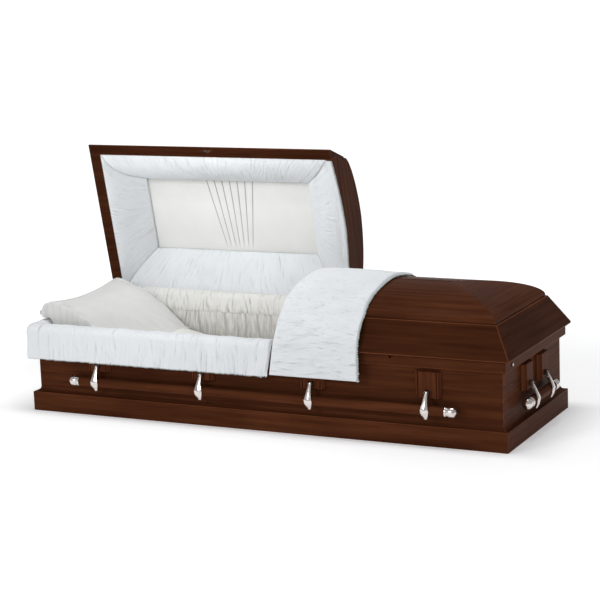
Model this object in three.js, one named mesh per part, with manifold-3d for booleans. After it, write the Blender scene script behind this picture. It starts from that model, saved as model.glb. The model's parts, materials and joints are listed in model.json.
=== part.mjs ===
// A full-size wooden casket with a two-piece lid: the head lid stands open, the foot lid is closed.
// Frame: X along the length with the foot end at +X, front at -Y, Z up,
// origin at the centre of the underside. Millimetres.

import * as THREE from 'three';
import { mergeVertices } from 'three/addons/utils/BufferGeometryUtils.js';
import Module from 'manifold-3d';

const wasm = await Module();
wasm.setup();

// Body
const BODY_LENGTH = 2060;
const BODY_WIDTH = 661;
const PANEL_THICKNESS = 19;
const BOARD_THICKNESS = 12;
const FIT = 0.3; // gap between fitted pieces

// Base moulding: a tall plain face with a cove above it
const BASE_PROJECTION = 25;
const BASE_FACE_HEIGHT = 80;
const BASE_COVE_HEIGHT = 18;

// Rim moulding: a flat face with a cove below it
const RIM_TOP = 344;
const RIM_PROJECTION = 19;
const RIM_FACE_HEIGHT = 38;
const RIM_COVE_HEIGHT = 16;
const COVE_STEPS = 5;

// Lids, as closed
const LID_GAP = 6; // room for the hinge leaves and the lining's edge
const LID_OVERHANG = 18;
const LIP_HEIGHT = 7;
const BAND_HEIGHT = 124;
const BAND_RUN = 72;
const BAND_WALL = 20;
const RAIL_WIDTH = 44;
const END_RAIL_WIDTH = 50;
const LEDGE_WIDTH = 8;
const CROWN_STEP = 6;
const CROWN_RISE = 91;
const CROWN_WALL = 12;
const CROWN_FULLNESS = 1.7; // exponent of the crown's curve
const CROWN_SEGMENTS = 24;
const LID_SPLIT_X = 98;
const LID_SPLIT_GAP = 3;
const LID_OPEN_DEG = 77.9;
const HEADER_THICKNESS = 22;
const ARCH_RISE = 56;
const ARCH_FOOT = 5;
const ARCH_FULLNESS = 1.6;
const CATCH_WIDTH = 54;
const CATCH_HEIGHT = 17;
const CATCH_DEPTH = 8;
const NOTCH_WIDTH = 20;
const NOTCH_DEPTH = 12;

// Hinges: leaves in the gap between rim and lid, knuckles just outside the rim
const HINGE_LENGTH = 2000;
const HINGE_OUTSET = 2;
const LEAF_THICKNESS = 1.6;
const LEAF_WIDTH = 26.4;
const KNUCKLE_RADIUS = 2.6;
const KNUCKLE_SIDES = 8;
const KNUCKLES_PER_LID = 7;
const KNUCKLE_GAP = 1;

// Swing handles
const SIDE_LUG_SPACING = 488;
const SIDE_LUG_COUNT = 4;
const END_LUG_SPACING = 176;
const END_LUG_COUNT = 2;
const SIDE_BAR_LENGTH = 1720;
const END_BAR_LENGTH = 360;
const PIVOT_HEIGHT = 211;
const PIVOT_STANDOFF = 7; // from the pad's face to the pin
const BAR_DROP = 66;
const BAR_OUT = 7; // how far the bar hangs outside the pivot
const BAR_RADIUS = 19.5;
const BAR_SIDES = 14;
const TIP_LENGTH = 50;
const TIP_RADIUS = 21.5;
const PAD_WIDTH = 105;
const PAD_BOTTOM = 187;
const PAD_THICKNESS = 20;
const PAD_BEVEL = 17.5;
const PAD_GROOVE = 3;
const EAR_RADIUS = 8.5;
const EAR_CHEEK = 4;
const ARM_WIDTH = 10;
const ARM_CLEARANCE = 0.5;
const PIN_RADIUS = 3;
const PIN_CLEARANCE = 0.6;
const LEAF_BLADE_WIDTH = 33;
const LEAF_BLADE_THICKNESS = 6;
const LEAF_BLADE_TOP = 40; // above the bar's centre
const LEAF_BLADE_TAIL = 33; // below the bar's centre

// Lock cap on the foot end
const LOCK_CAP_RADIUS = 9.5;
const LOCK_CAP_DEPTH = 4;
const LOCK_CAP_FROM_CORNER = 72;

// Lining, bed and cloth
const WALL_LINING = 25;
const LINING_PROUD = 2.2; // how far the wall lining stands above the rim
const BED_TOP = 190;
const BED_HEAD_TOP = 320;
const BED_SLOPE_LENGTH = 556;
const CUSHION_SIDE = 158;
const CUSHION_HEAD = 126;
const CUSHION_CUT = 169;
const CUSHION_DEPTH = 149;
const LID_PANEL_THICKNESS = 6;
const LID_PANEL_LAP = 12;
const SKIRT_HEM_Z = 229;
const SKIRT_END_X = 66;
const SKIRT_BACK_Y = 300;
const SKIRT_OUT = 50;
const SKIRT_CORNER_RADIUS = 45;
const ROLL_HEIGHT = 61;
const PILLOW_LENGTH = 397;
const PILLOW_RISE = 92;
const PILLOW_LEAN = 0.15; // how much fuller it is at its head than at its foot
const PILLOW_BOX_ALONG = 2.6; // higher is squarer
const PILLOW_BOX_ACROSS = 6;
const PILLOW_PAST_END = 22;
const PILLOW_SIDE_GAP = 2.5;
const PILLOW_OVER_RIM = 61; // its middle plane at the head end
const PILLOW_OVER_BED = 72; // its middle plane at the foot end
const PILLOW_SINK = 90;
const PILLOW_REST = 32; // above the wall lining's top edge
const PILLOW_BED_GAP = 3;
const PILLOW_SHOULDER = 56;
const PILLOW_EDGE_GAP = 1;
const PILLOW_COLUMNS = 12;
const PILLOW_ROWS = 8;
const THROW_LENGTH = 360;
const THROW_THICKNESS = 20;
const THROW_HEM_Z = 237;
const THROW_BACK_Y = 215;
const THROW_SPREAD = 30;
const THROW_HANG = 14;

// Worked-out sizes
const PIVOT_OUT = PAD_THICKNESS + PIVOT_STANDOFF;
const HALF_LENGTH = BODY_LENGTH / 2;
const HALF_WIDTH = BODY_WIDTH / 2;
const INNER_LENGTH = HALF_LENGTH - PANEL_THICKNESS;
const INNER_WIDTH = HALF_WIDTH - PANEL_THICKNESS;
const BOARD_TOP = BOARD_THICKNESS + FIT;
const RIM_COVE_Z = RIM_TOP - RIM_FACE_HEIGHT - RIM_COVE_HEIGHT;
const RIM_HALF_LENGTH = HALF_LENGTH + RIM_PROJECTION;
const RIM_HALF_WIDTH = HALF_WIDTH + RIM_PROJECTION;
const LID_HALF_LENGTH = RIM_HALF_LENGTH + LID_OVERHANG;
const LID_HALF_WIDTH = RIM_HALF_WIDTH + LID_OVERHANG;
const LID_BOTTOM = RIM_TOP + LID_GAP;
const BAND_TOP = LID_BOTTOM + BAND_HEIGHT;
const CROWN_BASE = BAND_TOP + CROWN_STEP;
const CROWN_INSET = BAND_RUN + LEDGE_WIDTH;
const BAND_SLOPE = BAND_RUN / (BAND_HEIGHT - LIP_HEIGHT);
const HINGE_Y = RIM_HALF_WIDTH + HINGE_OUTSET;
const HINGE_Z = (RIM_TOP + LID_BOTTOM) / 2;
const LINING_TOP = RIM_TOP + LINING_PROUD;
const BED_HEAD_X = -INNER_LENGTH + WALL_LINING;
const BED_BREAK_X = BED_HEAD_X + BED_SLOPE_LENGTH;
const PILLOW_HEAD_X = -HALF_LENGTH - PILLOW_PAST_END;
const PILLOW_WIDTH = 2 * (INNER_WIDTH - WALL_LINING - PILLOW_SIDE_GAP);
const PILLOW_HEAD_Z = RIM_TOP + PILLOW_OVER_RIM;
const PILLOW_FOOT_Z = BED_TOP + PILLOW_OVER_BED;

// Materials
const wood = new THREE.MeshStandardMaterial({ color: 0x4a2618, roughness: 0.35, metalness: 0 });
const innerWood = new THREE.MeshStandardMaterial({ color: 0x6b4a33, roughness: 0.7, metalness: 0 });
const nickel = new THREE.MeshStandardMaterial({ color: 0xc9c3bb, roughness: 0.2, metalness: 1 });
const hingeSteel = new THREE.MeshStandardMaterial({ color: 0x6e6558, roughness: 0.4, metalness: 1 });
const crepe = new THREE.MeshStandardMaterial({ color: 0xe9ecf0, roughness: 0.9, metalness: 0 });
const satin = new THREE.MeshStandardMaterial({ color: 0xe6e5df, roughness: 0.6, metalness: 0 });

// Solids

// A closed prism: the outline lies in the plane of two axes and is drawn out along the third.
function prism(outline, start, end, basis) {
  const shape = new THREE.Shape(outline.map(([a, b]) => new THREE.Vector2(a, b)));
  const geometry = new THREE.ExtrudeGeometry(shape, { depth: end - start, bevelEnabled: false });
  geometry.translate(0, 0, start);
  geometry.applyMatrix4(new THREE.Matrix4().makeBasis(...basis));
  return geometry;
}

const X = new THREE.Vector3(1, 0, 0);
const Y = new THREE.Vector3(0, 1, 0);
const Z = new THREE.Vector3(0, 0, 1);

// Outline points are [y, z].
function prismAlongX(outline, start, end) {
  return prism(outline, start, end, [Y, Z, X]);
}

// Outline points are [x, z]; the prism runs from y = start to y = end.
function prismAlongY(outline, start, end) {
  return prism(outline, -end, -start, [X, Z, Y.clone().negate()]);
}

// Outline points are [x, y].
function prismAlongZ(outline, start, end) {
  return prism(outline, start, end, [X, Y, Z]);
}

// A box between two opposite corners.
function box([x0, y0, z0], [x1, y1, z1]) {
  const geometry = new THREE.BoxGeometry(x1 - x0, y1 - y0, z1 - z0);
  return geometry.translate((x0 + x1) / 2, (y0 + y1) / 2, (z0 + z1) / 2);
}

// A cylinder along X with its middle at [x, y, z].
function cylinderAlongX(radius, length, sides, [x, y, z]) {
  const geometry = new THREE.CylinderGeometry(radius, radius, length, sides);
  return geometry.rotateZ(Math.PI / 2).translate(x, y, z);
}

// A geometry as a solid that can be joined and cut.
function toSolid(geometry) {
  const bare = new THREE.BufferGeometry();
  bare.setAttribute('position', geometry.getAttribute('position'));
  if (geometry.index) bare.setIndex(geometry.index);
  const welded = mergeVertices(bare, 1e-4);
  return new wasm.Manifold(new wasm.Mesh({
    numProp: 3,
    vertProperties: new Float32Array(welded.getAttribute('position').array),
    triVerts: new Uint32Array(welded.index.array),
  }));
}

function toGeometry(solid) {
  const mesh = solid.getMesh();
  const geometry = new THREE.BufferGeometry();
  geometry.setAttribute('position', new THREE.BufferAttribute(new Float32Array(mesh.vertProperties), 3));
  geometry.setIndex(new THREE.BufferAttribute(new Uint32Array(mesh.triVerts), 1));
  geometry.computeVertexNormals();
  return geometry;
}

function joined(...geometries) {
  return toGeometry(geometries.map(toSolid).reduce((whole, piece) => whole.add(piece)));
}

function common(first, second) {
  return toGeometry(toSolid(first).intersect(toSolid(second)));
}

function cut(body, ...tools) {
  return toGeometry(tools.map(toSolid).reduce((rest, tool) => rest.subtract(tool), toSolid(body)));
}

// Loops of equal length, joined in order. A tube closes on its first loop; a lump is capped at both ends.
function loft(loops, tube) {
  const size = loops[0].length;
  const positions = loops.flat(2);
  const indices = [];
  const bands = tube ? loops.length : loops.length - 1;
  for (let band = 0; band < bands; band += 1) {
    const here = band * size;
    const there = ((band + 1) % loops.length) * size;
    for (let i = 0; i < size; i += 1) {
      const j = (i + 1) % size;
      indices.push(here + i, here + j, there + j, here + i, there + j, there + i);
    }
  }
  if (!tube) {
    const last = (loops.length - 1) * size;
    for (let i = 1; i < size - 1; i += 1) {
      indices.push(0, i + 1, i, last, last + i, last + i + 1);
    }
  }
  const geometry = new THREE.BufferGeometry();
  geometry.setAttribute('position', new THREE.Float32BufferAttribute(positions, 3));
  geometry.setIndex(indices);
  geometry.computeVertexNormals();
  return geometry;
}

const casket = new THREE.Group();

function add(parent, name, geometry, material) {
  const mesh = new THREE.Mesh(geometry, material);
  mesh.name = name;
  parent.add(mesh);
  return mesh;
}

// Sides of the body. In each side's own frame X runs along the face, -Y points out of it,
// and the face is at y = 0.
const LONG_SIDE = {
  half: HALF_LENGTH, lugs: SIDE_LUG_COUNT, spacing: SIDE_LUG_SPACING, bar: SIDE_BAR_LENGTH,
};
const SHORT_SIDE = {
  half: HALF_WIDTH, lugs: END_LUG_COUNT, spacing: END_LUG_SPACING, bar: END_BAR_LENGTH,
};
const SIDES = {
  front: { ...LONG_SIDE, turn: 0, at: [0, -HALF_WIDTH] },
  back: { ...LONG_SIDE, turn: Math.PI, at: [0, HALF_WIDTH] },
  foot: { ...SHORT_SIDE, turn: Math.PI / 2, at: [HALF_LENGTH, 0] },
  head: { ...SHORT_SIDE, turn: -Math.PI / 2, at: [-HALF_LENGTH, 0] },
};

function sideFrame(side) {
  const frame = new THREE.Group();
  frame.position.set(side.at[0], side.at[1], 0);
  frame.rotation.z = side.turn;
  casket.add(frame);
  return frame;
}

// Mouldings: a profile of [projection, z] drawn along a side and mitred at both corners.
function mitredMoulding(profile, half) {
  const geometry = prismAlongX(profile.map(([out, z]) => [-out, z]), -1, 1);
  const position = geometry.getAttribute('position');
  for (let i = 0; i < position.count; i += 1) {
    const out = -position.getY(i);
    position.setX(i, position.getX(i) * (half + out - FIT / 2));
  }
  return geometry;
}

function quarterTurn(steps) {
  return Array.from({ length: steps + 1 }, (_, i) => (i / steps) * (Math.PI / 2));
}

function baseProfile() {
  const cove = quarterTurn(COVE_STEPS).map((angle) => [
    BASE_PROJECTION - (BASE_PROJECTION - FIT) * Math.sin(angle),
    BASE_FACE_HEIGHT + BASE_COVE_HEIGHT * (1 - Math.cos(angle)),
  ]);
  return [[FIT, 0], [BASE_PROJECTION, 0], ...cove];
}

function rimProfile() {
  const cove = quarterTurn(COVE_STEPS).map((angle) => [
    RIM_PROJECTION - (RIM_PROJECTION - FIT) * Math.cos(angle),
    RIM_COVE_Z + RIM_COVE_HEIGHT * Math.sin(angle),
  ]);
  return [...cove, [RIM_PROJECTION, RIM_TOP], [FIT, RIM_TOP]];
}

// Lid middles, between the end of each lid and the cut
const HEAD_LID_MIDDLE = (LID_SPLIT_X - LID_HALF_LENGTH) / 2;
const FOOT_LID_MIDDLE = (LID_SPLIT_X + LID_HALF_LENGTH) / 2;

function rimMoulding(key, side) {
  const moulding = mitredMoulding(rimProfile(), side.half);
  if (key !== 'front') return moulding;
  const notches = [HEAD_LID_MIDDLE, FOOT_LID_MIDDLE].map((x) => prismAlongY([
    [x - NOTCH_WIDTH / 2, RIM_TOP + 1],
    [x - NOTCH_WIDTH / 6, RIM_TOP - NOTCH_DEPTH],
    [x + NOTCH_WIDTH / 6, RIM_TOP - NOTCH_DEPTH],
    [x + NOTCH_WIDTH / 2, RIM_TOP + 1],
  ], -RIM_PROJECTION - 1, -RIM_PROJECTION / 2));
  return cut(moulding, ...notches);
}

// Handles, in a side's own frame.

// The wooden pad with grooved bevels, and the metal ear with its pin standing on it.
function handleLug() {
  const half = PAD_WIDTH / 2;
  const flat = half - PAD_BEVEL;
  const right = [
    [half, -FIT],
    [half, -PAD_THICKNESS / 5],
    [flat + 2 * PAD_GROOVE, -PAD_THICKNESS * 0.8],
    [flat + PAD_GROOVE, -PAD_THICKNESS * 0.6],
    [flat, -PAD_THICKNESS * 0.6],
    [flat, -PAD_THICKNESS],
  ];
  const left = right.map(([x, y]) => [-x, y]).reverse();
  const pad = prismAlongZ([...right, ...left], PAD_BOTTOM, RIM_COVE_Z - FIT);

  const inner = ARM_WIDTH / 2 + ARM_CLEARANCE;
  const cheekOutline = [
    [-PAD_THICKNESS + 1, PIVOT_HEIGHT + EAR_RADIUS],
    ...Array.from({ length: 9 }, (_, i) => {
      const angle = Math.PI / 2 + (i / 8) * Math.PI;
      return [-PIVOT_OUT + EAR_RADIUS * Math.cos(angle), PIVOT_HEIGHT + EAR_RADIUS * Math.sin(angle)];
    }),
    [-PAD_THICKNESS + 1, PIVOT_HEIGHT - EAR_RADIUS],
  ];
  const cheeks = [-1, 1].map((way) => {
    const edges = [way * inner, way * (inner + EAR_CHEEK)].sort((a, b) => a - b);
    return prismAlongX(cheekOutline, edges[0], edges[1]);
  });
  const pin = cylinderAlongX(PIN_RADIUS, 2 * inner + EAR_CHEEK, 12, [0, -PIVOT_OUT, PIVOT_HEIGHT]);
  return joined(pad, ...cheeks, pin);
}

// The arm hangs on the pin: a ring, a slim stem and a leaf-shaped blade over the front of the bar.
function handleArm() {
  const barY = -(PIVOT_OUT + BAR_OUT);
  const barZ = PIVOT_HEIGHT - BAR_DROP;
  const ringRadius = PIVOT_STANDOFF - ARM_CLEARANCE;
  const hole = cylinderAlongX(PIN_RADIUS + PIN_CLEARANCE, ARM_WIDTH + 2, 12, [0, -PIVOT_OUT, PIVOT_HEIGHT]);
  const ring = cylinderAlongX(ringRadius, ARM_WIDTH, 14, [0, -PIVOT_OUT, PIVOT_HEIGHT]);

  const seat = BAR_RADIUS + FIT;
  const outer = seat + LEAF_BLADE_THICKNESS;
  const stem = prismAlongX([
    [-PIVOT_OUT + ringRadius * 0.55, PIVOT_HEIGHT - ringRadius * 0.8],
    [barY + 2, barZ + seat + 5],
    [barY - seat * 0.75, barZ + seat * 0.8],
    [barY - seat - 1, barZ + 2],
    [barY - outer + 1, barZ + 4],
    [barY - seat * 0.85, barZ + seat + 9],
    [-PIVOT_OUT - ringRadius * 0.97, PIVOT_HEIGHT - 1],
  ], -ARM_WIDTH / 2, ARM_WIDTH / 2);

  const blade = prismAlongX([
    [barY - outer + 9, barZ + LEAF_BLADE_TOP],
    [barY - outer + 2.5, barZ + LEAF_BLADE_TOP / 2],
    [barY - outer, barZ],
    [barY - outer + 4, barZ - LEAF_BLADE_TAIL * 0.6],
    [barY - outer + 13, barZ - LEAF_BLADE_TAIL],
    [barY - outer + 15, barZ - LEAF_BLADE_TAIL + 2],
    [barY - seat + 1.5, barZ - 10],
    [barY - seat, barZ],
    [barY - seat + 1, barZ + LEAF_BLADE_TOP / 2],
  ], -LEAF_BLADE_WIDTH / 2, LEAF_BLADE_WIDTH / 2);
  const half = LEAF_BLADE_WIDTH / 2;
  const leafSide = [
    [2, LEAF_BLADE_TOP],
    [half * 0.45, LEAF_BLADE_TOP * 0.6],
    [half * 0.85, LEAF_BLADE_TOP * 0.25],
    [half, -2],
    [half * 0.8, -LEAF_BLADE_TAIL * 0.5],
    [half * 0.35, -LEAF_BLADE_TAIL],
  ];
  const leafOutline = [...leafSide, ...leafSide.map(([x, z]) => [-x, z]).reverse()]
    .map(([x, z]) => [x, barZ + z]);
  const leaf = common(blade, prismAlongY(leafOutline, barY - 2 * outer, barY));
  const barSpace = cylinderAlongX(seat, 2 * LEAF_BLADE_WIDTH, 2 * BAR_SIDES, [0, barY, barZ]);
  return cut(joined(ring, stem, leaf), hole, barSpace);
}

// A turned wooden bar with a polished tip on each end.
function handleBar(length) {
  const half = length / 2;
  const shoulder = half - TIP_LENGTH;
  const side = [
    [BAR_RADIUS, shoulder],
    [TIP_RADIUS, shoulder + 1],
    [TIP_RADIUS, shoulder + 8],
    [BAR_RADIUS, shoulder + 11],
    [TIP_RADIUS - 1, shoulder + 15],
    [TIP_RADIUS, half - 14],
    [TIP_RADIUS * 0.8, half - 5],
    [TIP_RADIUS * 0.45, half - 0.5],
    [0, half],
  ];
  const profile = [...side.map(([radius, x]) => [radius, -x]).reverse(), ...side]
    .map(([radius, x]) => new THREE.Vector2(radius, x));
  return new THREE.LatheGeometry(profile, BAR_SIDES)
    .rotateZ(-Math.PI / 2)
    .translate(0, -(PIVOT_OUT + BAR_OUT), PIVOT_HEIGHT - BAR_DROP);
}

// Body shell
function addShell() {
  add(casket, 'bottom_board', box(
    [-INNER_LENGTH + FIT, -INNER_WIDTH + FIT, 0],
    [INNER_LENGTH - FIT, INNER_WIDTH - FIT, BOARD_THICKNESS],
  ), innerWood);
  add(casket, 'side_panel_front', box(
    [-HALF_LENGTH, -HALF_WIDTH, 0],
    [HALF_LENGTH, -INNER_WIDTH, RIM_TOP],
  ), wood);
  add(casket, 'side_panel_back', box(
    [-HALF_LENGTH, INNER_WIDTH, 0],
    [HALF_LENGTH, HALF_WIDTH, RIM_TOP],
  ), wood);
  add(casket, 'end_panel_head', box(
    [-HALF_LENGTH, -INNER_WIDTH + FIT, 0],
    [-INNER_LENGTH, INNER_WIDTH - FIT, RIM_TOP],
  ), wood);
  add(casket, 'end_panel_foot', box(
    [INNER_LENGTH, -INNER_WIDTH + FIT, 0],
    [HALF_LENGTH, INNER_WIDTH - FIT, RIM_TOP],
  ), wood);
}

function addSides() {
  for (const [key, side] of Object.entries(SIDES)) {
    const frame = sideFrame(side);
    add(frame, `base_moulding_${key}`, mitredMoulding(baseProfile(), side.half), wood);
    add(frame, `rim_moulding_${key}`, rimMoulding(key, side), wood);
    add(frame, `handle_bar_${key}`, handleBar(side.bar), wood);
    for (let i = 0; i < side.lugs; i += 1) {
      const x = (i - (side.lugs - 1) / 2) * side.spacing;
      add(frame, `handle_lug_${key}_${i + 1}`, handleLug(), wood).position.x = x;
      add(frame, `handle_arm_${key}_${i + 1}`, handleArm(), nickel).position.x = x;
    }
  }
  const cap = cylinderAlongX(LOCK_CAP_RADIUS, LOCK_CAP_DEPTH, 20, [
    RIM_HALF_LENGTH + FIT + LOCK_CAP_DEPTH / 2,
    -RIM_HALF_WIDTH + LOCK_CAP_FROM_CORNER,
    RIM_TOP - RIM_FACE_HEIGHT / 2,
  ]);
  add(casket, 'lock_cap', cap, nickel);
}

// Lids. Every shape is drawn closed. Each lid is the region under two drawn-out profiles,
// one for its long sides and one for its end, which gives mitred hips at the end's corners.

// Half of the crown's curve as [distance from the middle, height], from the base to the top.
function crownCurve(halfSpan, rise) {
  return Array.from({ length: CROWN_SEGMENTS / 2 + 1 }, (_, i) => {
    const angle = (i / (CROWN_SEGMENTS / 2)) * (Math.PI / 2);
    return [
      halfSpan * Math.cos(angle) ** (2 / CROWN_FULLNESS),
      CROWN_BASE + rise * Math.sin(angle) ** (2 / CROWN_FULLNESS),
    ];
  });
}

function mirrored(half) {
  return [...half, ...half.slice(0, -1).map(([a, z]) => [-a, z]).reverse()];
}

// The crown's outline across the lid, standing on the band or, for cutting, below it.
function crownOutline(inset, wall, floor) {
  const span = LID_HALF_WIDTH - inset - wall;
  return mirrored([[span, floor], ...crownCurve(span, CROWN_RISE - wall)]);
}

// The same profile from the end of the lid to past the cut. The end is at -X.
function crownEndOutline(inset, wall, floor, pastCut) {
  const span = LID_HALF_WIDTH - inset - wall;
  const endX = -LID_HALF_LENGTH + inset + wall;
  const rise = crownCurve(span, CROWN_RISE - wall).map(([distance, z]) => [endX + span - distance, z]);
  const top = CROWN_BASE + CROWN_RISE - wall;
  return [[endX, floor], ...rise, [pastCut, top], [pastCut, floor]].reverse();
}

function crownSolid(wall, floor, cutX) {
  const across = prismAlongX(crownOutline(CROWN_INSET, wall, floor), -LID_HALF_LENGTH, cutX);
  const along = prismAlongY(
    crownEndOutline(CROWN_INSET, wall, floor, cutX + 1),
    -LID_HALF_WIDTH,
    LID_HALF_WIDTH,
  );
  return common(across, along);
}

// The band's outer line as [inset from the lid's edge, z]
function bandOuter() {
  return [[0, LID_BOTTOM], [0, LID_BOTTOM + LIP_HEIGHT], [BAND_RUN, BAND_TOP]];
}

// The band's inner line: a straight rail edge, then parallel to the outer slope
function bandInner(rail) {
  const turnZ = LID_BOTTOM + LIP_HEIGHT + (rail - BAND_WALL) / BAND_SLOPE;
  const mouth = BAND_RUN + BAND_WALL;
  return [[rail, LID_BOTTOM - 1], [rail, turnZ], [mouth, BAND_TOP], [mouth, BAND_TOP + 1]];
}

function bandPrisms(sideLine, endLine, cutX) {
  const across = mirrored([
    ...sideLine.map(([inset, z]) => [LID_HALF_WIDTH - inset, z]),
    [0, sideLine[sideLine.length - 1][1]],
  ]);
  const end = endLine.map(([inset, z]) => [-LID_HALF_LENGTH + inset, z]);
  const along = [...end, [cutX + 1, end[end.length - 1][1]], [cutX + 1, end[0][1]]].reverse();
  return common(
    prismAlongX(across, -LID_HALF_LENGTH, cutX),
    prismAlongY(along, -LID_HALF_WIDTH, LID_HALF_WIDTH),
  );
}

// The recess for the catch in the middle of the front rail, with a pointed lower edge.
function catchRecess(x) {
  const half = CATCH_WIDTH / 2;
  const front = -LID_HALF_WIDTH + (RAIL_WIDTH - CATCH_HEIGHT) / 2;
  return prismAlongZ([
    [x - half, front],
    [x + half, front],
    [x + half * 0.5, front + CATCH_HEIGHT * 0.6],
    [x, front + CATCH_HEIGHT],
    [x - half * 0.5, front + CATCH_HEIGHT * 0.6],
  ], LID_BOTTOM - 1, LID_BOTTOM + CATCH_DEPTH);
}

function lidBand(cutX, recess) {
  const outer = bandPrisms(bandOuter(), bandOuter(), cutX);
  const inner = bandPrisms(bandInner(RAIL_WIDTH), bandInner(END_RAIL_WIDTH), cutX + 1);
  return cut(outer, inner, recess);
}

function lidCrown(cutX) {
  const outer = crownSolid(0, BAND_TOP + FIT, cutX);
  return cut(outer, crownSolid(CROWN_WALL, BAND_TOP - 1, cutX + 1));
}

// The board that closes the lid at the cut, arched below.
function lidHeader(cutX) {
  const span = LID_HALF_WIDTH - CROWN_INSET - CROWN_WALL - FIT;
  const railInner = LID_HALF_WIDTH - RAIL_WIDTH - FIT;
  const turnZ = bandInner(RAIL_WIDTH)[1][1] - FIT;
  const board = mirrored([
    [railInner, LID_BOTTOM],
    [railInner, turnZ],
    [span, BAND_TOP],
    ...crownCurve(span, CROWN_RISE - CROWN_WALL - FIT),
  ]);
  const archSpan = railInner - ARCH_FOOT;
  const steps = 8;
  const arch = Array.from({ length: steps + 1 }, (_, i) => {
    const y = archSpan * (1 - i / steps);
    return [y, LID_BOTTOM + ARCH_RISE * (1 - (y / archSpan) ** ARCH_FULLNESS)];
  });
  const archOutline = mirrored([[archSpan, LID_BOTTOM - 1], ...arch.slice(1)]);
  return cut(
    prismAlongX(board, cutX - HEADER_THICKNESS, cutX),
    prismAlongX(archOutline, cutX - HEADER_THICKNESS - 1, cutX + 1),
  );
}

// A rectangle inside the lid, as a loop of four corners seen from below. Insets are from the lid's edges.
function lidLoop(cutX, side, end, atCut, z) {
  const y = LID_HALF_WIDTH - side;
  const x0 = -LID_HALF_LENGTH + end;
  const x1 = cutX - atCut;
  return [[x0, -y, z], [x0, y, z], [x1, y, z], [x1, -y, z]];
}

// The padded border's seen face, from the rail (share 0) to the panel (share 1)
const CUSHION_FACE = [[0.003, 0.01], [0.12, 0.05], [0.4, 0.28], [0.75, 0.64], [1, 0.9]];

function cushionFront(cutX) {
  return CUSHION_FACE.map(([share, depth]) => lidLoop(
    cutX,
    RAIL_WIDTH + FIT + share * CUSHION_SIDE,
    END_RAIL_WIDTH + FIT + share * CUSHION_HEAD,
    HEADER_THICKNESS + FIT + share * CUSHION_CUT,
    LID_BOTTOM + 1 + depth * CUSHION_DEPTH,
  ));
}

// The border's hidden face, just clear of the band and crown
function cushionBack(cutX, panelZ) {
  const clear = 2;
  const turnZ = bandInner(RAIL_WIDTH)[1][1];
  const crownInset = CROWN_INSET + CROWN_WALL;
  const back = HEADER_THICKNESS + FIT;
  return [
    lidLoop(cutX, crownInset + 28, crownInset + 28, back, panelZ),
    lidLoop(cutX, crownInset + clear, crownInset + clear, back, BAND_TOP),
    lidLoop(cutX, RAIL_WIDTH + clear, END_RAIL_WIDTH + clear, back, turnZ - 4),
  ];
}

function lidCushion(cutX) {
  const panelZ = LID_BOTTOM + 1 + CUSHION_DEPTH - FIT;
  const inner = lidLoop(
    cutX,
    RAIL_WIDTH + CUSHION_SIDE,
    END_RAIL_WIDTH + CUSHION_HEAD,
    HEADER_THICKNESS + CUSHION_CUT,
    panelZ,
  );
  return loft([...cushionFront(cutX), inner, ...cushionBack(cutX, panelZ)], true);
}

function lidPanel(cutX) {
  const z = LID_BOTTOM + 1 + CUSHION_DEPTH;
  const y = LID_HALF_WIDTH - RAIL_WIDTH - CUSHION_SIDE + LID_PANEL_LAP;
  return box(
    [-LID_HALF_LENGTH + END_RAIL_WIDTH + CUSHION_HEAD - LID_PANEL_LAP, -y, z],
    [cutX - HEADER_THICKNESS - CUSHION_CUT + LID_PANEL_LAP, y, z + LID_PANEL_THICKNESS],
  );
}

// The foot lid's plain lining: border and panel in one
function lidDish(cutX) {
  const panelZ = LID_BOTTOM + 1 + CUSHION_DEPTH - FIT;
  return loft([...cushionBack(cutX, panelZ), ...cushionFront(cutX)], false);
}

// Hinges: alternate knuckles on the axis, joined to leaves below and above it.
function knuckleSpans(start, end, parity) {
  const length = (end - start) / KNUCKLES_PER_LID;
  return Array.from({ length: KNUCKLES_PER_LID }, (_, i) => start + i * length)
    .map((from) => [from, from + length])
    .filter((_, i) => i % 2 === parity)
    .map(([from, to]) => [from + KNUCKLE_GAP / 2, to - KNUCKLE_GAP / 2]);
}

function hingeLeaf(spans, start, end, lowZ) {
  const edge = HINGE_Y - KNUCKLE_RADIUS - 0.5;
  const plate = box([start, edge - LEAF_WIDTH, lowZ], [end, edge, lowZ + LEAF_THICKNESS]);
  const knuckles = spans.flatMap(([from, to]) => [
    cylinderAlongX(KNUCKLE_RADIUS, to - from, KNUCKLE_SIDES, [(from + to) / 2, HINGE_Y, HINGE_Z]),
    box([from, edge - 1, lowZ], [to, HINGE_Y, lowZ + LEAF_THICKNESS]),
  ]);
  return joined(plate, ...knuckles);
}

// A group that turns about the hinge axis.
function lidGroup(angleDeg) {
  const axis = new THREE.Group();
  axis.position.set(0, HINGE_Y, HINGE_Z);
  axis.rotation.x = THREE.MathUtils.degToRad(-angleDeg);
  const lid = new THREE.Group();
  lid.position.set(0, -HINGE_Y, -HINGE_Z);
  axis.add(lid);
  casket.add(axis);
  return lid;
}

// The foot lid is the head lid's mirror image, so its shapes are drawn at the head and flipped end for end.
function flipped(geometry) {
  return geometry.rotateZ(Math.PI);
}

const HEAD_CUT = LID_SPLIT_X - LID_SPLIT_GAP / 2;
const FOOT_CUT = LID_SPLIT_X + LID_SPLIT_GAP / 2;
const HINGE_END = HINGE_LENGTH / 2;
const UPPER_LEAF_Z = LID_BOTTOM - FIT - LEAF_THICKNESS;

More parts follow.
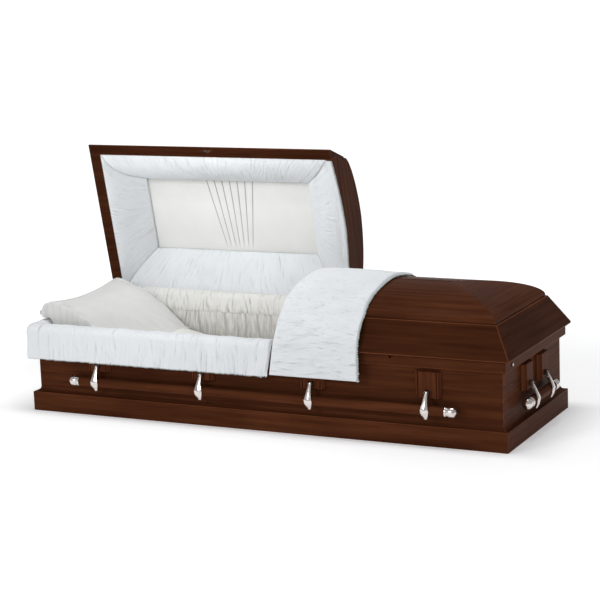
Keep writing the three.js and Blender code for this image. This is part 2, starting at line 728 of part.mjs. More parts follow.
function addLids() {
  const head = lidGroup(LID_OPEN_DEG);
  add(head, 'head_lid_band', lidBand(HEAD_CUT, catchRecess(HEAD_LID_MIDDLE)), wood);
  add(head, 'head_lid_crown', lidCrown(HEAD_CUT), wood);
  add(head, 'head_lid_header', lidHeader(HEAD_CUT), wood);
  add(head, 'head_lid_cushion', lidCushion(HEAD_CUT), crepe);
  add(head, 'head_lid_panel', lidPanel(HEAD_CUT), satin);
  const headSpans = knuckleSpans(-HINGE_END, HEAD_CUT, 1);
  add(head, 'hinge_leaf_head_lid', hingeLeaf(headSpans, -HINGE_END, HEAD_CUT, UPPER_LEAF_Z), hingeSteel);

  const foot = lidGroup(0);
  const footBand = lidBand(-FOOT_CUT, flipped(catchRecess(FOOT_LID_MIDDLE)));
  add(foot, 'foot_lid_band', flipped(footBand), wood);
  add(foot, 'foot_lid_crown', flipped(lidCrown(-FOOT_CUT)), wood);
  add(foot, 'foot_lid_header', flipped(lidHeader(-FOOT_CUT)), wood);
  add(foot, 'foot_lid_lining', flipped(lidDish(-FOOT_CUT)), crepe);
  const footSpans = knuckleSpans(FOOT_CUT, HINGE_END, 1);
  add(foot, 'hinge_leaf_foot_lid', hingeLeaf(footSpans, FOOT_CUT, HINGE_END, UPPER_LEAF_Z), hingeSteel);
  add(foot, 'throw', throwOver(), crepe);

  const bodySpans = [...knuckleSpans(-HINGE_END, HEAD_CUT, 0), ...knuckleSpans(FOOT_CUT, HINGE_END, 0)];
  add(casket, 'hinge_body_leaf', hingeLeaf(bodySpans, -HINGE_END, HINGE_END, RIM_TOP + FIT), hingeSteel);
}

// The throw: cloth folded out at the cut, lying over the foot lid and hanging down its front.
function throwOver() {
  const start = FOOT_CUT + 1;
  const end = start + THROW_LENGTH;
  const crownHalf = LID_HALF_WIDTH - CROWN_INSET;
  const steps = 12;
  const over = Array.from({ length: steps + 1 }, (_, i) => {
    const y = THROW_BACK_Y * (1 - (2 * i) / steps);
    const share = (Math.abs(y) / crownHalf) ** CROWN_FULLNESS;
    return [y, CROWN_BASE + CROWN_RISE * (1 - share) ** (1 / CROWN_FULLNESS)];
  });
  const ledgeY = LID_HALF_WIDTH - BAND_RUN;
  const hangY = LID_HALF_WIDTH + 5;
  const outer = [
    ...over.map(([y, z]) => [y, z + THROW_THICKNESS]),
    [-ledgeY + 4, BAND_TOP + 30],
    [-ledgeY - 50, BAND_TOP - 18],
    [-hangY - 5, LID_BOTTOM + 46],
    [-hangY - THROW_HANG, LID_BOTTOM - 8],
    [-hangY - THROW_HANG, THROW_HEM_Z],
  ];
  const inner = [
    [-hangY, THROW_HEM_Z],
    [-hangY + 1, LID_BOTTOM],
    [-hangY + 10, LID_BOTTOM + 46],
    [-ledgeY - 36, BAND_TOP - 28],
    [-ledgeY + 4, BAND_TOP + 2],
    ...over.map(([y, z]) => [y, z + 1]).reverse(),
  ];
  const sheet = prismAlongX([...outer, ...inner], start, end);
  const lid = prismAlongX([
    ...mirrored([
      [LID_HALF_WIDTH + 1, LID_BOTTOM - 1],
      [LID_HALF_WIDTH + 1, LID_BOTTOM + LIP_HEIGHT + 1],
      [ledgeY + 1, BAND_TOP + 1],
      [crownHalf + 1, BAND_TOP + 1],
      ...crownCurve(crownHalf + 1, CROWN_RISE + 1),
    ]),
  ], start - 1, end + 1);
  const flareTop = LID_BOTTOM - 12;
  const flare = prismAlongY([
    [start + 1, THROW_HEM_Z],
    [start + 1, flareTop],
    [start - 2, flareTop],
    [start - THROW_SPREAD, THROW_HEM_Z],
  ], -hangY - THROW_HANG, -hangY);
  return joined(cut(sheet, lid), flare);
}

// The bed rises towards the head.
function bedTopAt(x) {
  const share = Math.max(0, (BED_BREAK_X - x) / BED_SLOPE_LENGTH);
  return BED_TOP + share * (BED_HEAD_TOP - BED_TOP);
}

function mattress() {
  const halfX = INNER_LENGTH - WALL_LINING - 1;
  const halfY = INNER_WIDTH - WALL_LINING - 1;
  return prismAlongY([
    [-halfX, BOARD_TOP],
    [halfX, BOARD_TOP],
    [halfX, BED_TOP],
    [BED_BREAK_X, BED_TOP],
    [-halfX, bedTopAt(-halfX)],
  ], -halfY, halfY);
}

function wallLining() {
  const outline = (inset) => {
    const x = INNER_LENGTH - inset;
    const y = INNER_WIDTH - inset;
    return [[-x, -y], [x, -y], [x, y], [-x, y]];
  };
  return cut(
    prismAlongZ(outline(FIT), BOARD_TOP, LINING_TOP),
    prismAlongZ(outline(WALL_LINING), BOARD_TOP - 1, LINING_TOP + 1),
  );
}

// The pillow: a full top over a sloping middle, flat below where it lies on the bed
// and stepped up where it leans on the head end.
function pillow() {
  const floorAt = (x) => {
    const bedEdge = BED_HEAD_X + PILLOW_EDGE_GAP;
    const rest = LINING_TOP + PILLOW_REST;
    if (x <= bedEdge) return rest;
    const shoulder = bedEdge + PILLOW_SHOULDER;
    if (x >= shoulder) return bedTopAt(x) + PILLOW_BED_GAP;
    const share = (x - bedEdge) / PILLOW_SHOULDER;
    return rest + share * (bedTopAt(shoulder) + PILLOW_BED_GAP - rest);
  };
  const top = [];
  const bottom = [];
  for (let i = 0; i <= PILLOW_COLUMNS; i += 1) {
    for (let j = 0; j <= PILLOW_ROWS; j += 1) {
      const u = -Math.cos((Math.PI * i) / PILLOW_COLUMNS);
      const v = (2 * j) / PILLOW_ROWS - 1;
      const x = PILLOW_HEAD_X + (PILLOW_LENGTH * (u + 1)) / 2;
      const y = (PILLOW_WIDTH * v) / 2;
      const middle = PILLOW_HEAD_Z + ((PILLOW_FOOT_Z - PILLOW_HEAD_Z) * (u + 1)) / 2;
      const along = Math.sqrt(Math.max(0, 1 - Math.abs(u) ** PILLOW_BOX_ALONG));
      const across = Math.sqrt(Math.max(0, 1 - v ** PILLOW_BOX_ACROSS));
      const puff = along * across * (1 - PILLOW_LEAN * u);
      const rim = i === 0 || j === 0 || i === PILLOW_COLUMNS || j === PILLOW_ROWS;
      top.push([x, y, middle + PILLOW_RISE * puff]);
      const below = Math.max(floorAt(x), middle - PILLOW_SINK * puff);
      bottom.push([x, y, rim ? middle : Math.min(below, middle - 1)]);
    }
  }
  const rows = PILLOW_ROWS + 1;
  const indices = [];
  for (let i = 0; i < PILLOW_COLUMNS; i += 1) {
    for (let j = 0; j < PILLOW_ROWS; j += 1) {
      const a = i * rows + j;
      const b = a + rows;
      indices.push(a, b, b + 1, a, b + 1, a + 1);
      const low = top.length;
      indices.push(low + a, low + b + 1, low + b, low + a, low + a + 1, low + b + 1);
    }
  }
  const geometry = new THREE.BufferGeometry();
  geometry.setAttribute('position', new THREE.Float32BufferAttribute([...top, ...bottom].flat(), 3));
  geometry.setIndex(indices);
  return toGeometry(toSolid(geometry));
}

// The skirt: the lining's edge turned out over the rim, along the front and round the head end.
function skirt() {
  const shelf = LINING_TOP + FIT;
  const section = [
    [-PANEL_THICKNESS - 11, shelf],
    [-PANEL_THICKNESS - 8, shelf + 15],
    [0, shelf + 24],
    [RIM_PROJECTION + 8, shelf + 23],
    [SKIRT_OUT - 8, shelf + 4],
    [SKIRT_OUT - 2, RIM_TOP - 44],
    [SKIRT_OUT, SKIRT_HEM_Z],
    [SKIRT_OUT - 13, SKIRT_HEM_Z],
    [RIM_PROJECTION + 7, RIM_TOP - 44],
    [RIM_PROJECTION + 2, shelf],
  ].reverse();
  const stations = [
    (out) => [SKIRT_END_X, -HALF_WIDTH - out],
    (out) => [-HALF_LENGTH - out, -HALF_WIDTH - out],
    (out) => [-HALF_LENGTH - out, SKIRT_BACK_Y],
  ];
  const loops = stations.map((at) => section.map(([out, z]) => [...at(out), z]));
  const radius = SKIRT_CORNER_RADIUS;
  const cornerX = -HALF_LENGTH - SKIRT_OUT - FIT;
  const cornerY = -HALF_WIDTH - SKIRT_OUT - FIT;
  const corner = quarterTurn(6).map((angle) => [
    cornerX + radius * (1 - Math.cos(angle)),
    cornerY + radius * (1 - Math.sin(angle)),
  ]);
  const trim = prismAlongZ([
    ...corner,
    [SKIRT_END_X + 1, cornerY],
    [SKIRT_END_X + 1, SKIRT_BACK_Y + 1],
    [cornerX, SKIRT_BACK_Y + 1],
  ], SKIRT_HEM_Z - 1, shelf + 30);
  return common(earCappedLoft(loops), trim);
}

// A run of equal sections whose end outlines are not convex.
function earCappedLoft(loops) {
  const open = loft(loops, false);
  const size = loops[0].length;
  const bandIndices = Array.from(open.index.array).slice(0, (loops.length - 1) * size * 6);
  const flat = loops[0].map(([, y, z]) => new THREE.Vector2(-y, z));
  const faces = THREE.ShapeUtils.triangulateShape(flat, []);
  const last = (loops.length - 1) * size;
  for (const [a, b, c] of faces) {
    const turn = (flat[b].x - flat[a].x) * (flat[c].y - flat[a].y)
      - (flat[c].x - flat[a].x) * (flat[b].y - flat[a].y);
    const [p, q] = turn > 0 ? [b, c] : [c, b];
    bandIndices.push(a, q, p, last + a, last + p, last + q);
  }
  open.setIndex(bandIndices);
  return open;
}

// The roll of lining in the corner between the back wall and the open lid.
function backRoll() {
  const low = LINING_TOP + FIT;
  const inner = INNER_WIDTH - WALL_LINING + 6;
  const outer = HINGE_Y - 7;
  return prismAlongX([
    [inner, low],
    [outer - 5, low],
    [outer, low + ROLL_HEIGHT * 0.45],
    [outer, low + ROLL_HEIGHT * 0.85],
    [outer - 14, low + ROLL_HEIGHT],
    [inner + 14, low + ROLL_HEIGHT * 0.85],
    [inner + 1, low + ROLL_HEIGHT * 0.45],
  ], -INNER_LENGTH + WALL_LINING + 1, SKIRT_END_X);
}

function addSoftPieces() {
  add(casket, 'mattress', mattress(), satin);
  add(casket, 'wall_lining', wallLining(), crepe);
  add(casket, 'pillow', pillow(), satin);
  add(casket, 'skirt', skirt(), crepe);
  add(casket, 'back_roll', backRoll(), crepe);
}

addShell();
addSides();
addLids();
addSoftPieces();

export default casket;
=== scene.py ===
"""A full-size wooden casket with its head lid open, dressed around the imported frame.

The foot end is at +X, the front at -Y and Z is up. All sizes are in metres.
"""

from __future__ import annotations

import json
import logging
import math
from dataclasses import dataclass
from enum import Enum
from typing import Callable, Iterable, Sequence

import bmesh
import bpy
import numpy as np
from bmesh.types import BMesh
from bpy.types import Material, Mesh, Node, NodeSocket, Object
from mathutils import Matrix, Vector
from numpy import ndarray as Array

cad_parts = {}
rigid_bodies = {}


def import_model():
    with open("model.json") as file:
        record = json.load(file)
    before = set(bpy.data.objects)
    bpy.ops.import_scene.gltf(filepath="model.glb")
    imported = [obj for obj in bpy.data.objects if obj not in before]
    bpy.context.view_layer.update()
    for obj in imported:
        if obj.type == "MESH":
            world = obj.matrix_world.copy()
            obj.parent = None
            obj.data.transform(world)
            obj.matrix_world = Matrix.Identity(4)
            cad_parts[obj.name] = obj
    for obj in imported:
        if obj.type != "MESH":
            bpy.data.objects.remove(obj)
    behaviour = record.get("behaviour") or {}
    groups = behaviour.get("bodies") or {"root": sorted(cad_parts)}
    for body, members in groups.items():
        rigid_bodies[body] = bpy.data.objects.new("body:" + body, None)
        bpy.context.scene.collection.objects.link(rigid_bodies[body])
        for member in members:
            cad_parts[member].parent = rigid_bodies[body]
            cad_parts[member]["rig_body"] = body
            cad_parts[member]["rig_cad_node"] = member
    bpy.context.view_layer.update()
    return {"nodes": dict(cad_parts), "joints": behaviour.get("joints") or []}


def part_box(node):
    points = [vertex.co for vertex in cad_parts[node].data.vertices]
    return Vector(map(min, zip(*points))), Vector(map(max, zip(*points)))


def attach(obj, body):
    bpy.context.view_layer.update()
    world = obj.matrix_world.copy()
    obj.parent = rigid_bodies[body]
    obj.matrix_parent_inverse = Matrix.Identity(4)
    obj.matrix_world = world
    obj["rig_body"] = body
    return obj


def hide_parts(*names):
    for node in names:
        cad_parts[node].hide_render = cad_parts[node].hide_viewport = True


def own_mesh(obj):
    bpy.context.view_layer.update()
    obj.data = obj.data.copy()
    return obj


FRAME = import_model()
LOG = logging.getLogger("casket")

# Sizes shared by several pieces, as in the frame
HALF_LENGTH = 1.030
HALF_WIDTH = 0.3305
PANEL = 0.019
INNER_LENGTH = HALF_LENGTH - PANEL
INNER_WIDTH = HALF_WIDTH - PANEL
LINING = 0.025
LINING_TOP = 0.3462
LID_HALF_LENGTH = 1.067
LID_HALF_WIDTH = 0.3675
LID_BOTTOM = 0.350
BAND_TOP = 0.474
HEAD_CUT = 0.0965
FOOT_CUT = 0.0995
CROWN_INSET = 0.080
CROWN_BASE = 0.480
CROWN_RISE = 0.091
CROWN_WALL = 0.012
CROWN_FULLNESS = 1.7
HINGE_Y = 0.3515
HINGE_Z = 0.347
HEAD_HINGE = next(joint for joint in FRAME["joints"] if joint["name"] == "head_lid_hinge")
OPEN_ANGLE = math.radians(HEAD_HINGE["range_deg"][1])
PIVOT_OUT = 0.027
PIVOT_HEIGHT = 0.211
BAR_OUT = 0.034
BAR_HEIGHT = 0.145
BAR_RADIUS = 0.0195


class Body(Enum):
    """The moving bodies of the frame."""

    CASKET = "casket"
    HEAD_LID = "head_lid"
    FOOT_LID = "foot_lid"


class Side(Enum):
    """The four sides: turn about Z from the front, length of row, and the face they stand on."""

    FRONT = ("front", 0.0, 4, 0.488, HALF_WIDTH, 1.720)
    BACK = ("back", math.pi, 4, 0.488, HALF_WIDTH, 1.720)
    FOOT = ("foot", math.pi / 2, 2, 0.176, HALF_LENGTH, 0.360)
    HEAD = ("head", -math.pi / 2, 2, 0.176, HALF_LENGTH, 0.360)

    def __init__(self, key: str, turn: float, lugs: int, spacing: float, face: float, bar: float) -> None:
        """Keeps the side's numbers.

        Args:
            key: the side's name in the frame's nodes.
            turn: angle from the front, about Z.
            lugs: handle arms on this side.
            spacing: distance between them.
            face: distance from the middle to the body's face.
            bar: length of the side's bar.
        """
        self.key, self.turn, self.lugs = key, turn, lugs
        self.spacing, self.face, self.bar = spacing, face, bar

    def matrix(self) -> Matrix:
        """Returns the turn and shift from the side's own frame to the casket's."""
        return Matrix.Rotation(self.turn, 4, "Z") @ Matrix.Translation((0, -self.face, 0))

    def stations(self) -> list[Vector]:
        """Returns the places of the side's handle arms, at the face and at floor height."""
        first = -(self.lugs - 1) / 2 * self.spacing
        return [self.matrix() @ Vector((first + i * self.spacing, 0, 0)) for i in range(self.lugs)]


# Meshes


def add_object(name: str, mesh: Mesh) -> Object:
    """Links a new object that holds the mesh.

    Args:
        name: its name.
        mesh: its mesh.

    Returns:
        The object.
    """
    obj = bpy.data.objects.new(name, mesh)
    bpy.context.scene.collection.objects.link(obj)
    return obj


def mesh_from(name: str, vertices: Array, faces: Iterable[Sequence[int]]) -> Mesh:
    """Makes a smooth-shaded mesh.

    Args:
        name: its name.
        vertices: an array of points.
        faces: corner numbers of each face.

    Returns:
        The mesh.
    """
    mesh = bpy.data.meshes.new(name)
    mesh.from_pydata(np.asarray(vertices, float).tolist(), [], [list(face) for face in faces])
    shade_smooth(mesh)
    mesh.update()
    return mesh


def shade_smooth(mesh: Mesh) -> None:
    """Shades every face of a mesh smooth."""
    mesh.polygons.foreach_set("use_smooth", np.ones(len(mesh.polygons), bool))


def write(mesh: Mesh, name: str, values: object, kind: str = "FLOAT", on: str = "POINT") -> None:
    """Writes an attribute of numbers or vectors on a mesh's points or faces."""
    field = "value" if kind == "FLOAT" else "vector"
    mesh.attributes.new(name, kind, on).data.foreach_set(field, values)


def points_of(mesh: Mesh) -> Array:
    """Returns where a mesh's points are."""
    points = np.empty(len(mesh.vertices) * 3)
    mesh.vertices.foreach_get("co", points)
    return points.reshape(-1, 3)


def move(mesh: Mesh, points: Array) -> None:
    """Moves a mesh's points to new places."""
    mesh.vertices.foreach_set("co", points.reshape(-1))


def normals_of(mesh: Mesh) -> Array:
    """Returns the normals at a mesh's points."""
    return np.array([v.normal for v in mesh.vertices])


def bake(obj: Object) -> Object:
    """Turns an object's modifiers into plain mesh.

    Args:
        obj: the object.

    Returns:
        The same object, with the result as its mesh and no modifiers.
    """
    evaluated = obj.evaluated_get(bpy.context.evaluated_depsgraph_get())
    mesh = bpy.data.meshes.new_from_object(evaluated)
    mesh.name = obj.name
    obj.modifiers.clear()
    obj.data = mesh
    return obj


def apply(obj: Object, kind: str, **settings: object) -> Object:
    """Works a modifier into a piece's mesh.

    Args:
        obj: the piece.
        kind: the modifier's type.
        settings: its properties.

    Returns:
        The piece, without the modifier.
    """
    modifier = obj.modifiers.new("work", kind)
    for key, value in settings.items():
        setattr(modifier, key, value)
    return bake(obj)


def merged(mesh: Mesh, distance: float) -> BMesh:
    """Returns a mesh's geometry to be worked on, its doubles merged."""
    data = bmesh.new()
    data.from_mesh(mesh)
    bmesh.ops.remove_doubles(data, verts=data.verts, dist=distance)
    return data


def worked(name: str, data: BMesh) -> Object:
    """Makes a piece of worked geometry.

    Args:
        name: its name.
        data: the geometry, which is freed.

    Returns:
        The piece.
    """
    mesh = bpy.data.meshes.new(name)
    data.to_mesh(mesh)
    data.free()
    return add_object(name, mesh)


def cleaned(obj: Object, distance: float, sharp: float) -> Object:
    """Merges a piece's doubles, turns its faces out and marks its sharp edges.

    Args:
        obj: the piece.
        distance: how near to each other the doubles are.
        sharp: the angle, in degrees, from which an edge is sharp.

    Returns:
        The piece.
    """
    data = merged(obj.data, distance)
    bmesh.ops.recalc_face_normals(data, faces=data.faces)
    data.to_mesh(obj.data)
    data.free()
    shade_smooth(obj.data)
    obj.data.set_sharp_from_angle(angle=math.radians(sharp))
    return obj


def block(data: BMesh, near: Sequence[Vector], far: Sequence[Vector]) -> None:
    """Joins two outlines into a closed block.

    Args:
        data: the geometry that it is added to.
        near: points of one outline.
        far: points of the other, as many.
    """
    near, far = ([data.verts.new(point) for point in line] for line in (near, far))
    data.faces.new(near)
    data.faces.new(far[::-1])
    for i in range(len(near)):
        j = (i + 1) % len(near)
        data.faces.new((near[j], near[i], far[i], far[j]))


def turned_open(points: Array) -> Array:
    """Turns points of the closed head lid to where the lid stands open.

    Args:
        points: an array whose last axis is x, y, z.

    Returns:
        The turned points.
    """
    y = points[..., 1] - HINGE_Y
    z = points[..., 2] - HINGE_Z
    cosine, sine = math.cos(OPEN_ANGLE), math.sin(OPEN_ANGLE)
    turned = np.array(points, float)
    turned[..., 1] = HINGE_Y + y * cosine + z * sine
    turned[..., 2] = HINGE_Z - y * sine + z * cosine
    return turned


def quads(grid: Array) -> Array:
    """Returns the four-cornered faces between neighbours of a grid of vertex numbers."""
    corners = (grid[:-1, :-1], grid[1:, :-1], grid[1:, 1:], grid[:-1, 1:])
    return np.stack(corners, -1).reshape(-1, 4)


def signed_volume(vertices: Array, faces: Array) -> float:
    """Returns the volume inside four-cornered faces, below zero where they point inwards."""
    a, b, c, d = (vertices[faces[:, i]] for i in range(4))
    total = np.einsum("ij,ij->i", a, np.cross(b, c)) + np.einsum("ij,ij->i", a, np.cross(c, d))
    return float(total.sum() / 6)


# Fold value of cloth without a fold pattern, mostly clear of the painted fold shade.
PLAIN_FOLD = 0.7


def closed_grid(
    name: str, front: Array, back: Array, ring: bool = False, fold: Array | None = None,
    flat: Array | None = None,
) -> Object:
    """Joins two facing grids into one closed piece.

    Args:
        name: its name.
        front: rows x columns x 3, the seen side.
        back: the hidden side, of the same shape.
        ring: whether the last row joins the first.
        fold: a value for each front point, kept as the attribute "fold", which the cloth finishes turn into
            painted shade where it is low.
        flat: a pair of flat lengths for each front point, kept as the UV map.

    Returns:
        The piece, with its faces pointing outwards.
    """
    rows, columns = front.shape[:2]
    count = rows * columns
    vertices = np.concatenate([front.reshape(-1, 3), back.reshape(-1, 3)])
    grid = np.arange(count).reshape(rows, columns)
    if ring:
        grid = np.vstack([grid, grid[:1]])
    edges = [grid[::-1, 0], grid[:, -1]]
    if not ring:
        edges += [grid[0], grid[-1, ::-1]]
    faces = [quads(grid), quads(grid)[:, ::-1] + count]
    for line in edges:
        faces.append(np.stack([line[:-1], line[1:], line[1:] + count, line[:-1] + count], -1))
    faces = np.concatenate(faces)
    if signed_volume(vertices, faces) < 0:
        faces = faces[:, ::-1]
    mesh = mesh_from(name, vertices, faces)
    write(mesh, "fold", np.full(2 * count, PLAIN_FOLD) if fold is None else np.tile(fold.reshape(-1), 2))
    if flat is not None:
        corners = np.empty(len(mesh.loops), int)
        mesh.loops.foreach_get("vertex_index", corners)
        flat_points = np.tile(flat.reshape(-1, 2), (2, 1))
        mesh.uv_layers.new(name="cloth").data.foreach_set("uv", flat_points[corners].reshape(-1))
    return add_object(name, mesh)


def smooth_line(points: Sequence[Sequence[float]], steps: int) -> Array:
    """Draws an even, smooth line through points.

    Args:
        points: the points it passes.
        steps: how many points it gets.

    Returns:
        An array of points at equal distances.
    """
    known = np.asarray(points, float)
    padded = np.vstack([2 * known[0] - known[1], known, 2 * known[-1] - known[-2]])
    pieces = []
    for a, b, c, d in zip(padded[:-3], padded[1:-2], padded[2:-1], padded[3:]):
        t = np.linspace(0, 1, 24, endpoint=False)[:, None]
        pieces.append(
            0.5 * (2 * b + (c - a) * t + (2 * a - 5 * b + 4 * c - d) * t**2
                   + (3 * b - a - 3 * c + d) * t**3)
        )
    dense = np.vstack(pieces + [known[-1:]])
    lengths = lengths_along(dense)
    at = np.linspace(0, lengths[-1], steps)
    return np.stack([np.interp(at, lengths, dense[:, i]) for i in range(known.shape[1])], -1)


def lengths_along(line: Array) -> Array:
    """Returns the length of a line up to each of its points."""
    return np.concatenate([[0], np.cumsum(np.linalg.norm(np.diff(line, axis=0), axis=1))])


def pairs(first: Array, second: Array) -> Array:
    """Returns a grid that pairs every first value with every second one."""
    return np.stack(np.broadcast_arrays(first[:, None], second[None, :]), -1)


def held(values: Array) -> Array:
    """Returns values held between 0 and 1."""
    return np.clip(values, 0, 1)


def line_normals(line: Array) -> Array:
    """Returns unit vectors at right angles to a line in a plane, to its left."""
    along = np.gradient(line, axis=0)
    along /= np.linalg.norm(along, axis=1, keepdims=True)
    return np.stack([-along[:, 1], along[:, 0]], -1)


class Noise:
    """Smooth seeded noise over a plane, about -0.7 to 0.7."""

    def __init__(self, seed: int) -> None:
        """Draws the directions at the lattice points."""
        self.turn = np.random.default_rng(seed).random((256, 256)) * 2 * math.pi

    def at(self, u: Array, v: Array) -> Array:
        """Reads the noise.

        Args:
            u: first coordinate, in cells.
            v: second coordinate, in cells.

        Returns:
            The values.
        """
        u, v = np.broadcast_arrays(u, v)
        low_u, low_v = np.floor(u).astype(int), np.floor(v).astype(int)
        part_u, part_v = u - low_u, v - low_v
        corner = {}
        for du in (0, 1):
            for dv in (0, 1):
                angle = self.turn[(low_u + du) % 256, (low_v + dv) % 256]
                corner[du, dv] = np.cos(angle) * (part_u - du) + np.sin(angle) * (part_v - dv)
        fade_u = part_u**3 * (part_u * (part_u * 6 - 15) + 10)
        fade_v = part_v**3 * (part_v * (part_v * 6 - 15) + 10)
        low = corner[0, 0] + (corner[1, 0] - corner[0, 0]) * fade_u
        high = corner[0, 1] + (corner[1, 1] - corner[0, 1]) * fade_u
        return low + (high - low) * fade_v


@dataclass(frozen=True)
class Ruching:
    """Drawn-up folds of gathered crepe: rounded puffs parted by creases that come and go."""

    pitch: float
    reach: float
    seed: int
    drift: float = 0.9

    def heights(self, across: Array, along: Array) -> Array:
        """Works out the folds.

        Args:
            across: length at right angles to the folds.
            along: length in the direction of the folds.

        Returns:
            Heights from 0 in a crease to 1 on a puff.
        """
        noise = Noise(self.seed)
        wander = noise.at(across / (3.1 * self.pitch), along / self.reach) * self.drift * 2
        line = across / self.pitch + wander
        puff = np.abs(np.sin(math.pi * line)) ** 0.7
        depth = noise.at(across / (1.3 * self.pitch) + 40.2, along / (0.8 * self.reach) + 9.1)
        depth = np.clip(0.55 + 1.5 * depth, 0.05, 1)
        fine_line = line * 2.3 + noise.at(across / self.pitch + 80.7, along / self.reach) * 1.6
        ripple = np.abs(np.sin(math.pi * fine_line)) ** 0.8
        light = noise.at(across / self.pitch + 17.9, along / (0.5 * self.reach) + 63.3)
        light = held(0.35 + 1.2 * light)
        return held(1 - 0.68 * depth * (1 - puff) - 0.32 * light * (1 - ripple))


# Shaders


class Wire:
    """One socket of a shader, for sums in plain Python."""

    def __init__(self, graph: Graph, socket: NodeSocket) -> None:
        """Keeps the socket and the tree it is in."""
        self.graph = graph
        self.socket = socket

    def _sum(self, operation: str, first: Wire | float, second: Wire | float) -> Wire:
        """Adds a Math node."""
        return self.graph.wire("ShaderNodeMath", {"operation": operation}, {0: first, 1: second})

    def __add__(self, other: Wire | float) -> Wire:
        """Returns self + other."""
        return self._sum("ADD", self, other)

    __radd__ = __add__

    def __sub__(self, other: Wire | float) -> Wire:
        """Returns self - other."""
        return self._sum("SUBTRACT", self, other)

    def __rsub__(self, other: Wire | float) -> Wire:
        """Returns other - self."""
        return self._sum("SUBTRACT", other, self)

    def __mul__(self, other: Wire | float) -> Wire:
        """Returns self * other."""
        return self._sum("MULTIPLY", self, other)

    __rmul__ = __mul__


Settings = dict[str, object] | None
Inputs = dict[str | int, object] | None


class Tree:
    """A node tree whose nodes all come from one method."""

    def __init__(self, group: bpy.types.NodeTree) -> None:
        """Starts with the tree emptied."""
        self.nodes, self.links = group.nodes, group.links
        self.nodes.clear()

    def give(self, socket: NodeSocket, value: object) -> None:
        """Links a socket to a wire or an output, or gives it a plain value.

        Args:
            socket: the socket.
            value: the wire, output or value.
        """
        source = value.socket if isinstance(value, Wire) else value
        if isinstance(source, NodeSocket):
            self.links.new(source, socket)
        else:
            socket.default_value = source

    def node(self, kind: str, settings: Settings = None, inputs: Inputs = None) -> Node:
        """Adds a node.

        Args:
            kind: its type.
            settings: its properties, set first.
            inputs: values, wires or outputs for its sockets.

        Returns:
            The node.
        """
        made = self.nodes.new(kind)
        for key, value in (settings or {}).items():
            setattr(made, key, value)
        for key, value in (inputs or {}).items():
            self.give(made.inputs[key], value)
        return made


class Graph(Tree):
    """The node tree of one material, ending in a Principled shader."""

    def __init__(self, name: str) -> None:
        """Starts the material.

        Args:
            name: its name.
        """
        self.material = bpy.data.materials.new(name)
        self.material.use_nodes = True
        super().__init__(self.material.node_tree)
        self.shader = self.node("ShaderNodeBsdfPrincipled")
        self.node("ShaderNodeOutputMaterial", {}, {"Surface": self.shader.outputs[0]})

    def wire(
        self, kind: str, settings: Settings = None, inputs: Inputs = None, output: str | int = 0
    ) -> Wire:
        """Adds a node and returns one of its outputs."""
        return Wire(self, self.node(kind, settings, inputs).outputs[output])

    def place(self) -> Wire:
        """Returns the Object coordinates."""
        return self.wire("ShaderNodeTexCoord", output="Object")

    def attribute(self, name: str, output: str = "Fac") -> Wire:
        """Returns a mesh attribute."""
        return self.wire("ShaderNodeAttribute", {"attribute_name": name}, output=output)

    def vector(self, operation: str, first: object, second: object, output: int = 0) -> Wire:
        """Returns a Vector Math node's result."""
        return self.wire("ShaderNodeVectorMath", {"operation": operation}, {0: first, 1: second}, output)

    def noise(self, at: Wire, scale: float, detail: float = 3.0, rough: float = 0.5) -> Wire:
        """Returns a Noise texture's value."""
        values = {"Vector": at, "Scale": scale, "Detail": detail, "Roughness": rough}
        return self.wire("ShaderNodeTexNoise", {}, values)

    def spread(self, value: Wire, low: float, high: float) -> Wire:
        """Returns a value stretched so that low becomes 0 and high becomes 1, held between."""
        values = {"Value": value, "From Min": low, "From Max": high}
        return self.wire("ShaderNodeMapRange", {"interpolation_type": "SMOOTHSTEP"}, values)

    def blend(self, share: object, first: object, second: object, mode: str = "MIX") -> Wire:
        """Returns two colours mixed."""
        settings = {"data_type": "RGBA", "blend_type": mode}
        return self.wire("ShaderNodeMix", settings, {0: share, 6: first, 7: second}, 2)

    def bump(self, height: Wire, distance: float, strength: float, **under: Wire) -> Wire:
        """Returns a normal raised by a height."""
        values = {"Height": height, "Distance": distance, "Strength": strength, **under}
        return self.wire("ShaderNodeBump", {}, values)

    def finish(self, **sockets: object) -> Material:
        """Sets the Principled shader's sockets, written with _ for a space.

        Args:
            sockets: values or wires.

        Returns:
            The material.
        """
        for key, value in sockets.items():
            self.give(self.shader.inputs[key.replace("_", " ")], value)
        return self.material


Colour = tuple[float, float, float, float]


